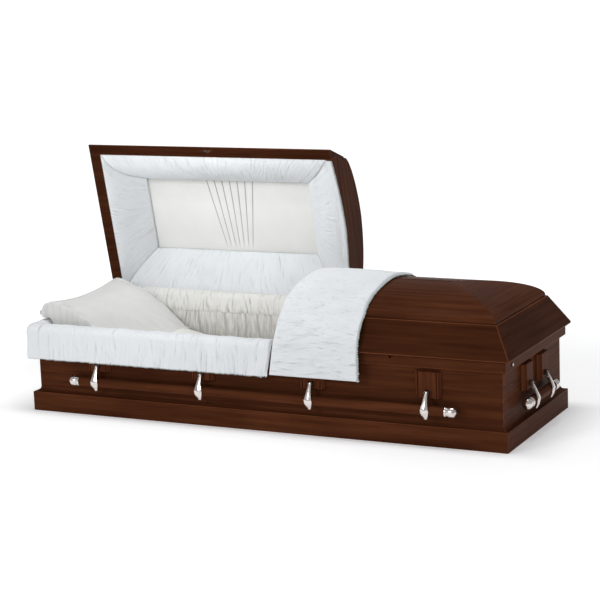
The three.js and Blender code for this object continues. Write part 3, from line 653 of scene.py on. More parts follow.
@dataclass(frozen=True)
class Stain:
    """Dark stained hardwood under satin lacquer, its figure running along "grain"."""

    name: str = "stained_wood"
    dark: Colour = (0.048, 0.0140, 0.0060, 1)
    light: Colour = (0.092, 0.0292, 0.0122, 1)
    roughness: float = 0.26
    pores: float = 0.00012
    gloss: float = 0.010
    glint: Colour = (1.0, 0.60, 0.42, 1)

    def material(self) -> Material:
        """Returns the finish's material."""
        graph = Graph(self.name)
        place = graph.place()
        grain = graph.attribute("grain", "Vector")
        along = graph.vector("DOT_PRODUCT", place, grain, 1)

        def stretched(share: float) -> Wire:
            """Returns the place with lengths along the grain cut to a share."""
            values = {0: grain, "Scale": along * (share - 1)}
            back = graph.wire("ShaderNodeVectorMath", {"operation": "SCALE"}, values)
            return graph.vector("ADD", place, back)

        streaks = graph.noise(stretched(0.05), 55, 5, 0.6)
        ribbons = graph.noise(stretched(0.12), 9, 3, 0.5)
        blotch = graph.noise(place, 2.4, 2, 0.5)
        pores = graph.noise(stretched(0.03), 620, 2, 0.6)
        figure = graph.spread(streaks * 0.7 + ribbons * 0.3, 0.30, 0.72)
        colour = graph.blend(figure, self.dark, self.light)
        shade = graph.spread(blotch, 0.2, 0.75) * 0.3 + 0.78
        # The face attribute 'tone' scales the colour: each board's own tone, plus a painted shade on the
        # lids' bands, painted light on the crowns and a painted highlight on the eased edges.
        colour = graph.blend(1.0, colour, shade * graph.attribute("tone"), "MULTIPLY")
        fleck = graph.spread(pores, 0.60, 0.74)
        colour = graph.blend(fleck * 0.35, colour, self.dark)
        return graph.finish(
            Base_Color=colour,
            Roughness=figure * 0.08 + (self.roughness - 0.04) + blotch * 0.05,
            Normal=graph.bump(pores, self.pores, 0.5),
            Specular_IOR_Level=self.gloss,
            Specular_Tint=self.glint,
        )


@dataclass(frozen=True)
class Metal:
    """Polished or plated metal with fine brushing and dull spots."""

    name: str
    colour: Colour
    tarnish: Colour
    roughness: float
    brushing: float = 0.00002

    def material(self) -> Material:
        """Returns the finish's material."""
        graph = Graph(self.name)
        place = graph.place()
        dull = graph.spread(graph.noise(place, 70, 4, 0.6), 0.45, 0.75)
        hairs = graph.noise(graph.vector("MULTIPLY", place, (300, 300, 2200)), 1, 2, 0.5)
        return graph.finish(
            Base_Color=graph.blend(dull * 0.5, self.colour, self.tarnish),
            Metallic=1.0,
            Roughness=dull * 0.14 + hairs * 0.05 + self.roughness,
            Normal=graph.bump(hairs, self.brushing, 0.4),
        )


@dataclass(frozen=True)
class Cloth:
    """Woven cloth: crinkled crepe or smooth satin, with painted shade deep in its folds."""

    name: str
    light: Colour
    # deep is the painted shade colour of the folds.
    deep: Colour
    crinkle: float
    crinkle_size: float
    roughness: float
    sheen: float
    gather: float = 0.0
    weave: float = 0.00006

    def material(self) -> Material:
        """Returns the finish's material."""
        graph = Graph(self.name)
        place = graph.place()
        fold = graph.attribute("fold")
        crinkles = graph.noise(place, 1 / self.crinkle_size, 4, 0.62)
        soft = graph.noise(place, 7, 2, 0.5)
        threads = graph.noise(graph.vector("MULTIPLY", place, (1400, 1400, 1400)), 1, 1, 0.5)
        drawn = graph.vector("MULTIPLY", graph.wire("ShaderNodeUVMap"), (150, 17, 0))
        gathers = graph.noise(drawn, 1, 2, 0.55)
        # Painted shade: where 'fold', the crinkles and the gathers run low, the colour goes to the deep
        # colour.
        lie = fold * 0.9 + crinkles * 0.1 + (gathers - 0.5) * (self.gather * 0.9)
        open_share = graph.spread(lie, 0.05, 0.75)
        colour = graph.blend(open_share, self.deep, self.light)
        tone = graph.spread(soft, 0.2, 0.8) * 0.05 + 0.95
        colour = graph.blend(1.0, colour, tone, "MULTIPLY")
        fine = graph.bump(threads, self.weave, 0.35)
        height = crinkles + gathers * (self.gather * 3)
        return graph.finish(
            Base_Color=colour,
            Roughness=crinkles * 0.15 + self.roughness,
            Normal=graph.bump(height, self.crinkle, 0.8, Normal=fine),
            Sheen_Weight=self.sheen,
            Sheen_Roughness=0.4,
            Specular_IOR_Level=0.2,
        )


@dataclass(frozen=True)
class Finishes:
    """Every material of the casket, by its slot in the record."""

    stained_wood: Material
    bare_wood: Material
    polished_metal: Material
    hinge_metal: Material
    crepe_cloth: Material
    plain_cloth: Material
    satin_cloth: Material

    @classmethod
    def made(cls) -> Finishes:
        """Returns the set, newly made."""
        # After each cloth's light colour comes its deep colour, the painted shade in its folds.
        white = (0.80, 0.825, 0.845, 1)
        return cls(
            stained_wood=Stain().material(),
            bare_wood=Stain(
                "bare_wood", (0.24, 0.15, 0.085, 1), (0.42, 0.29, 0.17, 1), 0.6, 0.0002, 0.2
            ).material(),
            polished_metal=Metal(
                "polished_metal", (0.74, 0.69, 0.66, 1), (0.40, 0.34, 0.31, 1), 0.16
            ).material(),
            hinge_metal=Metal(
                "hinge_metal", (0.115, 0.090, 0.075, 1), (0.050, 0.038, 0.032, 1), 0.40
            ).material(),
            crepe_cloth=Cloth(
                "crepe_cloth", white, (0.50, 0.52, 0.515, 1), 0.0013, 0.0050, 0.8, 0.08, 1.0
            ).material(),
            plain_cloth=Cloth(
                "plain_cloth", (0.76, 0.755, 0.725, 1), (0.33, 0.32, 0.29, 1), 0.0006, 0.010, 0.8,
                0.05, 0.7,
            ).material(),
            satin_cloth=Cloth(
                "satin_cloth", (0.77, 0.77, 0.75, 1), (0.26, 0.26, 0.25, 1), 0.0003, 0.014, 0.55, 0.1
            ).material(),
        )

    def put(self, obj: Object, slot: str) -> Object:
        """Dresses a piece in one finish.

        Args:
            obj: the piece.
            slot: the slot's name.

        Returns:
            The piece.
        """
        obj.data.materials.clear()
        obj.data.materials.append(getattr(self, slot))
        "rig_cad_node" not in obj
        return obj


# Geometry Nodes


class NodeWork(Tree):
    """A Geometry Nodes tree with named inputs, baked to plain mesh."""

    def __init__(self, name: str, inputs: Sequence[tuple[str, str, object]]) -> None:
        """Starts the tree.

        Args:
            name: its name.
            inputs: each input's label, socket type and first value.
        """
        self.group = bpy.data.node_groups.new(name, "GeometryNodeTree")
        super().__init__(self.group)
        face = self.group.interface
        face.new_socket("Geometry", in_out="INPUT", socket_type="NodeSocketGeometry")
        self.identifiers: dict[str, str] = {}
        for label, kind, value in inputs:
            socket = face.new_socket(label, in_out="INPUT", socket_type=kind)
            if value is not None:
                socket.default_value = value
            self.identifiers[label] = socket.identifier
        face.new_socket("Geometry", in_out="OUTPUT", socket_type="NodeSocketGeometry")
        self.start = self.node("NodeGroupInput")
        self.end = self.node("NodeGroupOutput")

    def end_with(self, geometry: NodeSocket) -> None:
        """Ends the tree in Realize Instances and Set Material."""
        real = self.node("GeometryNodeRealizeInstances", {}, {0: geometry})
        finish = {"Geometry": real.outputs[0], "Material": self.start.outputs["Finish"]}
        dressed = self.node("GeometryNodeSetMaterial", {}, finish)
        self.links.new(dressed.outputs[0], self.end.inputs[0])

    def bake(self, obj: Object, **values: object) -> Object:
        """Runs the tree on an object's mesh.

        Args:
            obj: the object.
            values: inputs by label.

        Returns:
            The same object, with the result as plain mesh.
        """
        modifier = obj.modifiers.new("work", "NODES")
        modifier.node_group = self.group
        for label, value in values.items():
            modifier[self.identifiers[label]] = value
        return bake(obj)


class Turnery(NodeWork):
    """Turns a round piece from a line of points with a radius each."""

    def __init__(self) -> None:
        """Builds the tree."""
        super().__init__("turnery", [("Sides", "NodeSocketInt", 40), ("Finish", "NodeSocketMaterial", None)])
        girth = self.node("GeometryNodeInputNamedAttribute", {"data_type": "FLOAT"}, {0: "girth"})
        line = self.node("GeometryNodeMeshToCurve", {}, {0: self.start.outputs["Geometry"]})
        radius = {0: line.outputs[0], "Radius": girth.outputs[0]}
        sized = self.node("GeometryNodeSetCurveRadius", {}, radius)
        flats = {"Resolution": self.start.outputs["Sides"], "Radius": 1.0}
        circle = self.node("GeometryNodeCurvePrimitiveCircle", {}, flats)
        swept = {0: sized.outputs[0], 1: circle.outputs[0], "Fill Caps": True}
        tube = self.node("GeometryNodeCurveToMesh", {}, swept)
        if "Scale" in tube.inputs:
            self.links.new(girth.outputs[0], tube.inputs["Scale"])
        self.end_with(tube.outputs[0])

    def turn(
        self, name: str, profile: Sequence[tuple[float, float]], at: Matrix, finish: Material,
        sides: int = 40,
    ) -> Object:
        """Makes one turned piece.

        Args:
            name: its name.
            profile: pairs of place along X and radius.
            at: where its own frame stands.
            finish: its material.
            sides: flats round it.

        Returns:
            The piece.
        """
        mesh = bpy.data.meshes.new(name)
        points = [at @ Vector((x, 0, 0)) for x, _ in profile]
        edges = [(i, i + 1) for i in range(len(points) - 1)]
        mesh.from_pydata(points, edges, [])
        write(mesh, "girth", [max(radius, 1e-5) for _, radius in profile])
        obj = self.bake(add_object(name, mesh), Sides=sides, Finish=finish)
        return cleaned(obj, 2e-5, 38)


class SetOut(NodeWork):
    """Sets a copy of a small piece at every station, turned as the station says."""

    def __init__(self) -> None:
        """Builds the tree."""
        super().__init__("set_out", [
            ("Piece", "NodeSocketObject", None),
            ("Size", "NodeSocketFloat", 1.0),
            ("Unevenness", "NodeSocketFloat", 0.0),
            ("Seed", "NodeSocketInt", 0),
            ("Finish", "NodeSocketMaterial", None),
        ])
        start = self.start.outputs
        piece = self.node("GeometryNodeObjectInfo", {}, {"Object": start["Piece"]})
        turn = self.node("GeometryNodeInputNamedAttribute", {"data_type": "FLOAT_VECTOR"}, {0: "turn"})
        low, high = (
            self.node("ShaderNodeMath", {"operation": way}, {0: 1.0, 1: start["Unevenness"]})
            for way in ("SUBTRACT", "ADD")
        )
        limits = {2: low.outputs[0], 3: high.outputs[0], "Seed": start["Seed"]}
        share = self.node("FunctionNodeRandomValue", {"data_type": "FLOAT"}, limits)
        factors = {0: share.outputs[1], 1: start["Size"]}
        size = self.node("ShaderNodeMath", {"operation": "MULTIPLY"}, factors)
        copies = self.node("GeometryNodeInstanceOnPoints", {}, {
            "Points": start["Geometry"],
            "Instance": piece.outputs["Geometry"],
            "Rotation": turn.outputs[0],
            "Scale": size.outputs[0],
        })
        self.end_with(copies.outputs[0])

    def lay(
        self, name: str, piece: Object, stations: Sequence[tuple[Sequence[float], Sequence[float]]],
        finish: Material, unevenness: float = 0.0, seed: int = 0,
    ) -> Object:
        """Makes one mesh of the copies.

        Args:
            name: the new piece's name.
            piece: the object that is copied.
            stations: place and turn (Euler angles) of each copy.
            finish: the material.
            unevenness: how far sizes may differ, as a share.
            seed: seed of the sizes.

        Returns:
            The new piece.
        """
        mesh = bpy.data.meshes.new(name)
        mesh.from_pydata([tuple(at) for at, _ in stations], [], [])
        turns = np.array([turn for _, turn in stations], float).reshape(-1)
        write(mesh, "turn", turns, "FLOAT_VECTOR")
        values = {"Piece": piece, "Size": 1.0, "Unevenness": unevenness, "Seed": seed, "Finish": finish}
        return self.bake(add_object(name, mesh), **values)


@dataclass
class Workshop:
    """What every class needs: the finishes and the two node trees."""

    finishes: Finishes
    turnery: Turnery
    set_out: SetOut

    def fit(self, obj: Object, slot: str, body: str, *nodes: str) -> Object:
        """Dresses a piece and sets it on its body.

        Args:
            obj: the piece.
            slot: its finish.
            body: the body that it moves with.
            nodes: the frame's nodes that it stands for.

        Returns:
            The piece.
        """
        self.finishes.put(obj, slot)
        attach(obj, body)
        if nodes:
            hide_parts(*nodes)
        return obj


# Wood


def lengthwise(centre: Vector, normal: Vector) -> Vector:
    """Returns the grain of a board that runs along the casket."""
    return Vector((0, 1, 0)) if abs(normal.x) > 0.7 else Vector((1, 0, 0))


def crosswise(centre: Vector, normal: Vector) -> Vector:
    """Returns the grain of a board that runs across the casket."""
    return Vector((1, 0, 0)) if abs(normal.y) > 0.9 else Vector((0, 1, 0))


Grain = Callable[[Vector, Vector], Vector]
# Faces narrower than this are the eased edges that get the painted highlight.
EASED = 0.0026


def set_grain(mesh: Mesh, rule: Grain, tone: float = 1.0, edge_highlight: float = 1.0) -> None:
    """Writes the direction of the grain and the board's tone on each face, with a painted highlight on the
    eased edges.

    Args:
        mesh: the mesh.
        rule: gives the direction from a face's centre and normal.
        tone: how light the board is beside the others; on the lids' bands this is a painted shade and on the
            crowns painted light.
        edge_highlight: how much lighter its eased edges are, a painted highlight.
    """
    tone_and_highlight = np.full(len(mesh.polygons), tone)
    # Painted highlight: the narrow faces of the eased edges are made lighter.
    if edge_highlight != 1:
        ends = [mesh.vertices[i].co for i in range(len(mesh.vertices))]
        for face in mesh.polygons:
            if min((ends[a] - ends[b]).length for a, b in face.edge_keys) < EASED:
                tone_and_highlight[face.index] *= edge_highlight
    write(mesh, "tone", tone_and_highlight, on="FACE")
    values = [part for face in mesh.polygons for part in rule(face.center, face.normal)]
    write(mesh, "grain", values, "FLOAT_VECTOR", "FACE")


@dataclass
class Joinery:
    """Dresses the flat-faced wooden nodes: eased edges with a painted highlight, grain and stain."""

    shop: Workshop
    ease: float = 0.0016

    def dress(
        self, node: str, grain: Grain, slot: str = "stained_wood", ease: float | None = None,
        tone: float = 1.0,
    ) -> Object:
        """Makes the dressed copy of one wooden node.

        Args:
            node: the node's name.
            grain: the rule for its grain.
            slot: its finish.
            ease: how much its edges are rounded.
            tone: how light it is beside the others; on the lids' bands it is a painted shade.

        Returns:
            The piece that stands for the node.
        """
        source = FRAME["nodes"][node]
        data = merged(source.data, 2e-5)
        bmesh.ops.dissolve_limit(
            data, angle_limit=math.radians(0.6), verts=data.verts, edges=data.edges,
            use_dissolve_boundaries=False,
        )
        obj = worked(f"{node}_dressed", data)
        obj.data.materials.clear()
        width = self.ease if ease is None else ease
        apply(
            obj, "BEVEL", width=width, segments=2, limit_method="ANGLE",
            angle_limit=math.radians(28), use_clamp_overlap=True, miter_outer="MITER_SHARP",
        )
        shade_smooth(obj.data)
        obj.data.set_sharp_from_angle(angle=math.radians(40))
        apply(obj, "WEIGHTED_NORMAL", keep_sharp=True)
        # The eased edges are painted 2.8 times lighter, a painted highlight.
        set_grain(obj.data, grain, tone, 2.8)
        return self.shop.fit(obj, slot, source["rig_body"], node)


@dataclass
class Carcass:
    """The body: boards, panels and the mouldings at its base and rim."""

    shop: Workshop

    def build(self) -> None:
        """Dresses every board of the body."""
        joinery = Joinery(self.shop)
        joinery.dress("bottom_board", lengthwise, "bare_wood", 0.001)
        for node in ("side_panel_front", "side_panel_back", "end_panel_head", "end_panel_foot"):
            joinery.dress(node, lengthwise if node.startswith("side") else crosswise, ease=0.001)
        for key in ("front", "back", "foot", "head"):
            grain = lengthwise if key in ("front", "back") else crosswise
            joinery.dress(f"base_moulding_{key}", grain, ease=0.0028, tone=1.12)
            joinery.dress(f"rim_moulding_{key}", grain, ease=0.0022)
        LOG.info("carcass: 13 boards")


@dataclass
class LidShell:
    """A lid's slanted band, crown and header, with the crown laid out on its hips."""

    shop: Workshop
    body: Body
    levels: int = 40
    side_steps: int = 26
    end_steps: int = 22
    tie: float = 0.0003

    def grain(self, centre: Vector, normal: Vector) -> Vector:
        """Returns the band's grain: across the casket on its end, lengthwise elsewhere."""
        if abs(normal.x) > 0.35 and abs(centre.x) > 0.9:
            return self.across()
        return Vector((1, 0, 0))

    def across(self) -> Vector:
        """Returns the direction across the lid as it stands."""
        if self.body is Body.FOOT_LID:
            return Vector((0, 1, 0))
        return Vector((0, math.cos(OPEN_ANGLE), -math.sin(OPEN_ANGLE)))

    def loops(self, inset: float, low: float, rise: float) -> Array:
        """Lays out one surface of the crown as level loops round its end.

        Args:
            inset: from the lid's edge to the surface's foot.
            low: height of the foot below the curve.
            rise: height of the curve.

        Returns:
            Levels x points x 3, of the closed lid with its end at -X.
        """
        span = LID_HALF_WIDTH - inset
        end = LID_HALF_LENGTH - inset
        cut = HEAD_CUT if self.body is Body.HEAD_LID else -FOOT_CUT
        angles = np.linspace(0, math.pi / 2, self.levels)
        reach = span * np.cos(angles).clip(0) ** (2 / CROWN_FULLNESS)
        height = CROWN_BASE + rise * np.sin(angles) ** (2 / CROWN_FULLNESS)
        reach = np.concatenate([[span], reach])
        height = np.concatenate([[low], height])
        out = []
        for y, z in zip(reach, height):
            x = -(end - (span - y))
            side = np.linspace(0, 1, self.side_steps)
            across = np.linspace(-1, 1, self.end_steps)[1:-1]
            front = np.stack([cut + (x - cut) * side, np.full_like(side, -y)], -1)
            middle = np.stack([np.full_like(across, x), across * y], -1)
            back = front[::-1] * (1, -1)
            flat = np.vstack([front, middle, back])
            out.append(np.column_stack([flat, np.full(len(flat), z)]))
        return np.array(out)

    def crown(self) -> Object:
        """Returns the crown, standing for its node."""
        outer = self.loops(CROWN_INSET, BAND_TOP + self.tie, CROWN_RISE)
        inner = self.loops(CROWN_INSET + CROWN_WALL, BAND_TOP + self.tie, CROWN_RISE - CROWN_WALL)
        if self.body is Body.HEAD_LID:
            outer, inner = turned_open(outer), turned_open(inner)
        else:
            outer, inner = outer * (-1, -1, 1), inner * (-1, -1, 1)
        name = f"{self.body.value}_crown_shell"
        obj = closed_grid(name, outer, inner)
        data = merged(obj.data, 1e-5)
        bmesh.ops.dissolve_degenerate(data, edges=data.edges, dist=1e-6)
        bmesh.ops.recalc_face_normals(data, faces=data.faces)
        data.to_mesh(obj.data)
        data.free()
        obj.data.set_sharp_from_angle(angle=math.radians(24))
        turn = math.cos(OPEN_ANGLE), math.sin(OPEN_ANGLE)

        def grain(centre: Vector, normal: Vector) -> Vector:
            """Returns the grain of the crown, which turns at its hips."""
            x, y = centre.x, centre.y
            if self.body is Body.HEAD_LID:
                y = HINGE_Y + (centre.y - HINGE_Y) * turn[0] - (centre.z - HINGE_Z) * turn[1]
            at_end = LID_HALF_LENGTH - abs(x) < LID_HALF_WIDTH - abs(y)
            return self.across() if at_end else Vector((1, 0, 0))

        # Tone 1.12 lightens the crown, painted light from above.
        set_grain(obj.data, grain, 1.12)
        return self.shop.fit(obj, "stained_wood", self.body.value, f"{self.body.value}_crown")

    def build(self) -> None:
        """Builds and dresses the lid's shell."""
        joinery = Joinery(self.shop)
        # Tone 0.68 darkens the slanted band, a painted shade.
        joinery.dress(f"{self.body.value}_band", self.grain, ease=0.0028, tone=0.68)
        joinery.dress(f"{self.body.value}_header", lambda centre, normal: self.across(), ease=0.0015)
        self.crown()
        LOG.info("%s: band, header and crown", self.body.value)


# Handles


@dataclass
class Handles:
    """The swing handles: pads and ears on the body, bars, tips and leaf-shaped arms."""

    shop: Workshop
    pad_width: float = 0.105
    pad_low: float = 0.187
    pad_high: float = 0.2897
    pad_depth: float = 0.020
    pad_flat: float = 0.035
    groove: float = 0.003
    ear_radius: float = 0.0085
    tip_length: float = 0.050
    tip_radius: float = 0.0215

    def pad(self) -> Object:
        """Returns one wooden pad in the front's frame, to be copied."""
        half, flat, deep, cut = self.pad_width / 2, self.pad_flat, self.pad_depth, self.groove
        right = [
            (half, -0.0003), (half, -deep * 0.28), (half - 0.0015, -deep * 0.36),
            (flat + 2.6 * cut, -deep * 0.84), (flat + 2.1 * cut, -deep * 0.84),
            (flat + 1.7 * cut, -deep * 0.60), (flat + 0.3 * cut, -deep * 0.60),
            (flat, -deep * 0.72), (flat, -deep + 0.001), (flat - 0.001, -deep),
        ]
        outline = right + [(-x, y) for x, y in reversed(right)]
        levels = [(self.pad_low, 0.965, 0.90), (self.pad_low + 0.0015, 1, 1), (self.pad_high, 1, 1)]
        vertices = np.array([
            (x * wide, y * thick if y < -0.001 else y, z)
            for z, wide, thick in levels for x, y in outline
        ])
        grid = np.arange(3 * len(outline)).reshape(3, -1)
        faces = [grid[0], grid[2, ::-1], *quads(np.hstack([grid, grid[:, :1]]))]
        mesh = mesh_from("pad", vertices, faces)
        return cleaned(add_object("pad_pattern", mesh), 1e-6, 25)

    def ears(self) -> Object:
        """Returns one pair of rounded cheeks with their pin, to be copied."""
        data = bmesh.new()
        radius, inner, cheek = self.ear_radius, 0.0055, 0.004
        back = -self.pad_depth + 0.001
        angles = [math.pi * (0.5 + i / 14) for i in range(15)]
        outline = [(back, PIVOT_HEIGHT + radius)]
        outline += [(-PIVOT_OUT + radius * math.cos(a), PIVOT_HEIGHT + radius * math.sin(a)) for a in angles]
        outline.append((back, PIVOT_HEIGHT - radius))
        for way in (-1, 1):
            near, far = ([(way * x, y, z) for y, z in outline] for x in (inner, inner + cheek))
            block(data, near, far)
        for x0, x1, girth in (
            (-inner - 0.003, inner + 0.003, 0.003),
            (-inner - cheek - 0.0022, -inner - cheek + 0.001, 0.0046),
            (inner + cheek - 0.001, inner + cheek + 0.0022, 0.0046),
        ):
            turn = Matrix.Rotation(math.pi / 2, 4, "Y")
            at = Matrix.Translation(((x0 + x1) / 2, -PIVOT_OUT, PIVOT_HEIGHT)) @ turn
            bmesh.ops.create_cone(
                data, cap_ends=True, segments=20, radius1=girth, radius2=girth,
                depth=x1 - x0, matrix=at,
            )
        obj = worked("ear_pattern", data)
        self.ease_edges(obj, 0.0007)
        return cleaned(obj, 1e-6, 40)

    @staticmethod
    def ease_edges(obj: Object, width: float) -> None:
        """Rounds a small pattern's edges."""
        angle = math.radians(40)
        apply(obj, "BEVEL", width=width, segments=2, limit_method="ANGLE", angle_limit=angle)
        shade_smooth(obj.data)

    def leaf(self) -> tuple[Array, Array]:
        """Returns the front and back grids of the arm's blade, from its eye to its tail."""
        along = np.linspace(0, 1, 37)
        height = PIVOT_HEIGHT + 0.0048 - 0.1038 * along
        known = [0, 0.05, 0.20, 0.38, 0.52, 0.66, 0.74, 0.86, 0.96, 1.0]
        width = np.interp(along, known, [
            0.0026, 0.0050, 0.0070, 0.0098, 0.0132, 0.0164, 0.0160, 0.0122, 0.0078, 0.0060,
        ])
        places = [0, 0.10, 0.26, 0.42, 0.56, 0.68, 0.82, 1.0]
        curve = smooth_line([
            (-PIVOT_OUT - 0.0028, 0), (-0.0352, 0.10), (-0.0440, 0.26), (-0.0520, 0.42),
            (-0.0576, 0.56), (-0.0603, 0.68), (-0.0570, 0.84), (-0.0478, 1.0),
        ], 60)
        out = np.interp(along, curve[:, 1], curve[:, 0])
        thick = np.interp(along, places, [0.003, 0.004, 0.005, 0.0055, 0.006, 0.006, 0.0045, 0.002])
        across = np.linspace(-1, 1, 13)
        keel = np.interp(along, [0, 0.5, 0.64, 0.70, 1.0], [0.30, 0.45, 0.55, 1.0, 1.0])
        fall = (0.3 * across**2 + 0.7 * np.abs(across)) * 0.0046
        shear = fall[None, :] * keel[:, None] * np.minimum(1, width / 0.010)[:, None]
        front_y = out[:, None] + shear
        back_y = np.maximum((out + thick)[:, None] + 0 * shear, front_y + 0.0010)
        x = width[:, None] * across[None, :]
        z = height[:, None] + 0 * x
        return np.stack([x, front_y, z], -1), np.stack([x, back_y, z], -1)

    def arm(self) -> Object:
        """Returns one handle arm in the front's frame, to be copied."""
        front, back = self.leaf()
        leaf = closed_grid("leaf", front, back)
        data = bmesh.new()
        data.from_mesh(leaf.data)
        bpy.data.objects.remove(leaf)
        half = 0.0042
        stem_line = [
            (-PIVOT_OUT + 0.0028, PIVOT_HEIGHT - 0.0052), (-PIVOT_OUT - 0.0006, PIVOT_HEIGHT - 0.018),
            (-BAR_OUT - 0.0010, BAR_HEIGHT + 0.0262), (-BAR_OUT - 0.0128, BAR_HEIGHT + 0.0176),
            (-BAR_OUT - 0.0193, BAR_HEIGHT + 0.0070), (-BAR_OUT - 0.0202, BAR_HEIGHT + 0.001),
            (-BAR_OUT - 0.0235, BAR_HEIGHT + 0.002), (-BAR_OUT - 0.0225, BAR_HEIGHT + 0.0145),
            (-BAR_OUT - 0.0165, BAR_HEIGHT + 0.0270), (-BAR_OUT - 0.0062, BAR_HEIGHT + 0.0370),
            (-PIVOT_OUT - 0.0060, PIVOT_HEIGHT - 0.018), (-PIVOT_OUT - 0.0063, PIVOT_HEIGHT - 0.001),
        ]
        near, far = ([(x * half * 0.8, y, z) for y, z in stem_line] for x in (-1, 1))
        block(data, near, far)
        ring, hole, steps = 0.0066, 0.0036, 28
        section = (
            (hole, -half), (ring - 0.001, -half), (ring, -half + 0.0012),
            (ring, half - 0.0012), (ring - 0.001, half), (hole, half),
        )
        angles = [2 * math.pi * i / steps for i in range(steps)]
        loops = []
        for girth, x in section:
            around = [(-PIVOT_OUT + girth * math.cos(a), PIVOT_HEIGHT + girth * math.sin(a)) for a in angles]
            loops.append([data.verts.new((x, y, z)) for y, z in around])
        for one, two in zip(loops, loops[1:] + loops[:1]):
            for i in range(steps):
                j = (i + 1) % steps
                data.faces.new((one[i], one[j], two[j], two[i]))
        bmesh.ops.recalc_face_normals(data, faces=data.faces)
        obj = worked("arm_pattern", data)
        shade_smooth(obj.data)
        obj.data.set_sharp_from_angle(angle=math.radians(32))
        return obj

    def bar(self, side: Side) -> None:
        """Turns a side's bar and its two tips.

        Args:
            side: the side.
        """
        body = f"bar_{side.key}"
        node = f"handle_bar_{side.key}"
        half = side.bar / 2
        shoulder = half - self.tip_length
        at = side.matrix() @ Matrix.Translation((0, -BAR_OUT, BAR_HEIGHT))
        radius = BAR_RADIUS - 0.0004
        wood = self.shop.turnery.turn(
            f"{node}_wood", [(-shoulder, radius), (shoulder, radius)], at,
            self.shop.finishes.stained_wood, 56,
        )
        along = (side.matrix().to_3x3() @ Vector((1, 0, 0))).normalized()
        set_grain(wood.data, lambda centre, normal: along, 1.2)
        tip = self.tip_radius
        collar = [
            (0.0, 0.012), (0.0, tip - 0.0008), (0.0010, tip), (0.0070, tip), (0.0080, tip - 0.001),
            (0.0092, tip - 0.0032), (0.0118, tip - 0.0034), (0.0130, tip - 0.0012),
            (0.0145, tip - 0.0003), (0.0345, tip), (0.0370, tip - 0.0006), (0.0400, tip - 0.0020),
            (0.0440, tip - 0.0052), (0.0470, tip - 0.0095), (0.0490, tip - 0.0145), (0.0500, 0.0),
        ]
        parts = []
        for way in (-1, 1):
            profile = [(way * (shoulder + x), girth) for x, girth in collar]
            parts.append(self.shop.turnery.turn(
                f"{node}_tip{way}", profile, at, self.shop.finishes.polished_metal, 48,
            ))
        self.shop.fit(wood, "stained_wood", body, node)
        self.shop.fit(join(f"{node}_tips", parts), "polished_metal", body, node)

    def build(self) -> None:
        """Builds every handle."""
        pattern_pad, pattern_ears, pattern_arm = self.pad(), self.ears(), self.arm()
        finishes, lay = self.shop.finishes, self.shop.set_out.lay
        stations = []
        for side in Side:
            own = [(tuple(at), (0, 0, side.turn)) for at in side.stations()]
            stations += own
            arms = lay(f"handle_arms_{side.key}", pattern_arm, own, finishes.polished_metal)
            nodes = [f"handle_arm_{side.key}_{i + 1}" for i in range(side.lugs)]
            self.shop.fit(arms, "polished_metal", f"bar_{side.key}", *nodes)
            self.bar(side)
        pads = lay("handle_pads", pattern_pad, stations, finishes.stained_wood)
        # The 1.6 lightens the pads' eased edges, a painted highlight.
        set_grain(pads.data, lambda centre, normal: Vector((0, 0, 1)), 1.3, 1.6)
        ears = lay("handle_ears", pattern_ears, stations, finishes.hinge_metal)
        lugs = [f"handle_lug_{side.key}_{i + 1}" for side in Side for i in range(side.lugs)]
        for piece, slot in ((pads, "stained_wood"), (ears, "hinge_metal")):
            self.shop.fit(piece, slot, Body.CASKET.value, *lugs)
        for pattern in (pattern_pad, pattern_ears, pattern_arm):
            bpy.data.objects.remove(pattern)
        LOG.info("handles: %d arms on %d bars", len(stations), len(Side))


def join(name: str, parts: Sequence[Object]) -> Object:
    """Joins pieces of one finish into one mesh.

    Args:
        name: the joined piece's name.
        parts: the pieces, which are removed.

    Returns:
        The joined piece.
    """
    data = bmesh.new()
    for part in parts:
        data.from_mesh(part.data)
        bpy.data.objects.remove(part)
    return worked(name, data)


# Small metalwork


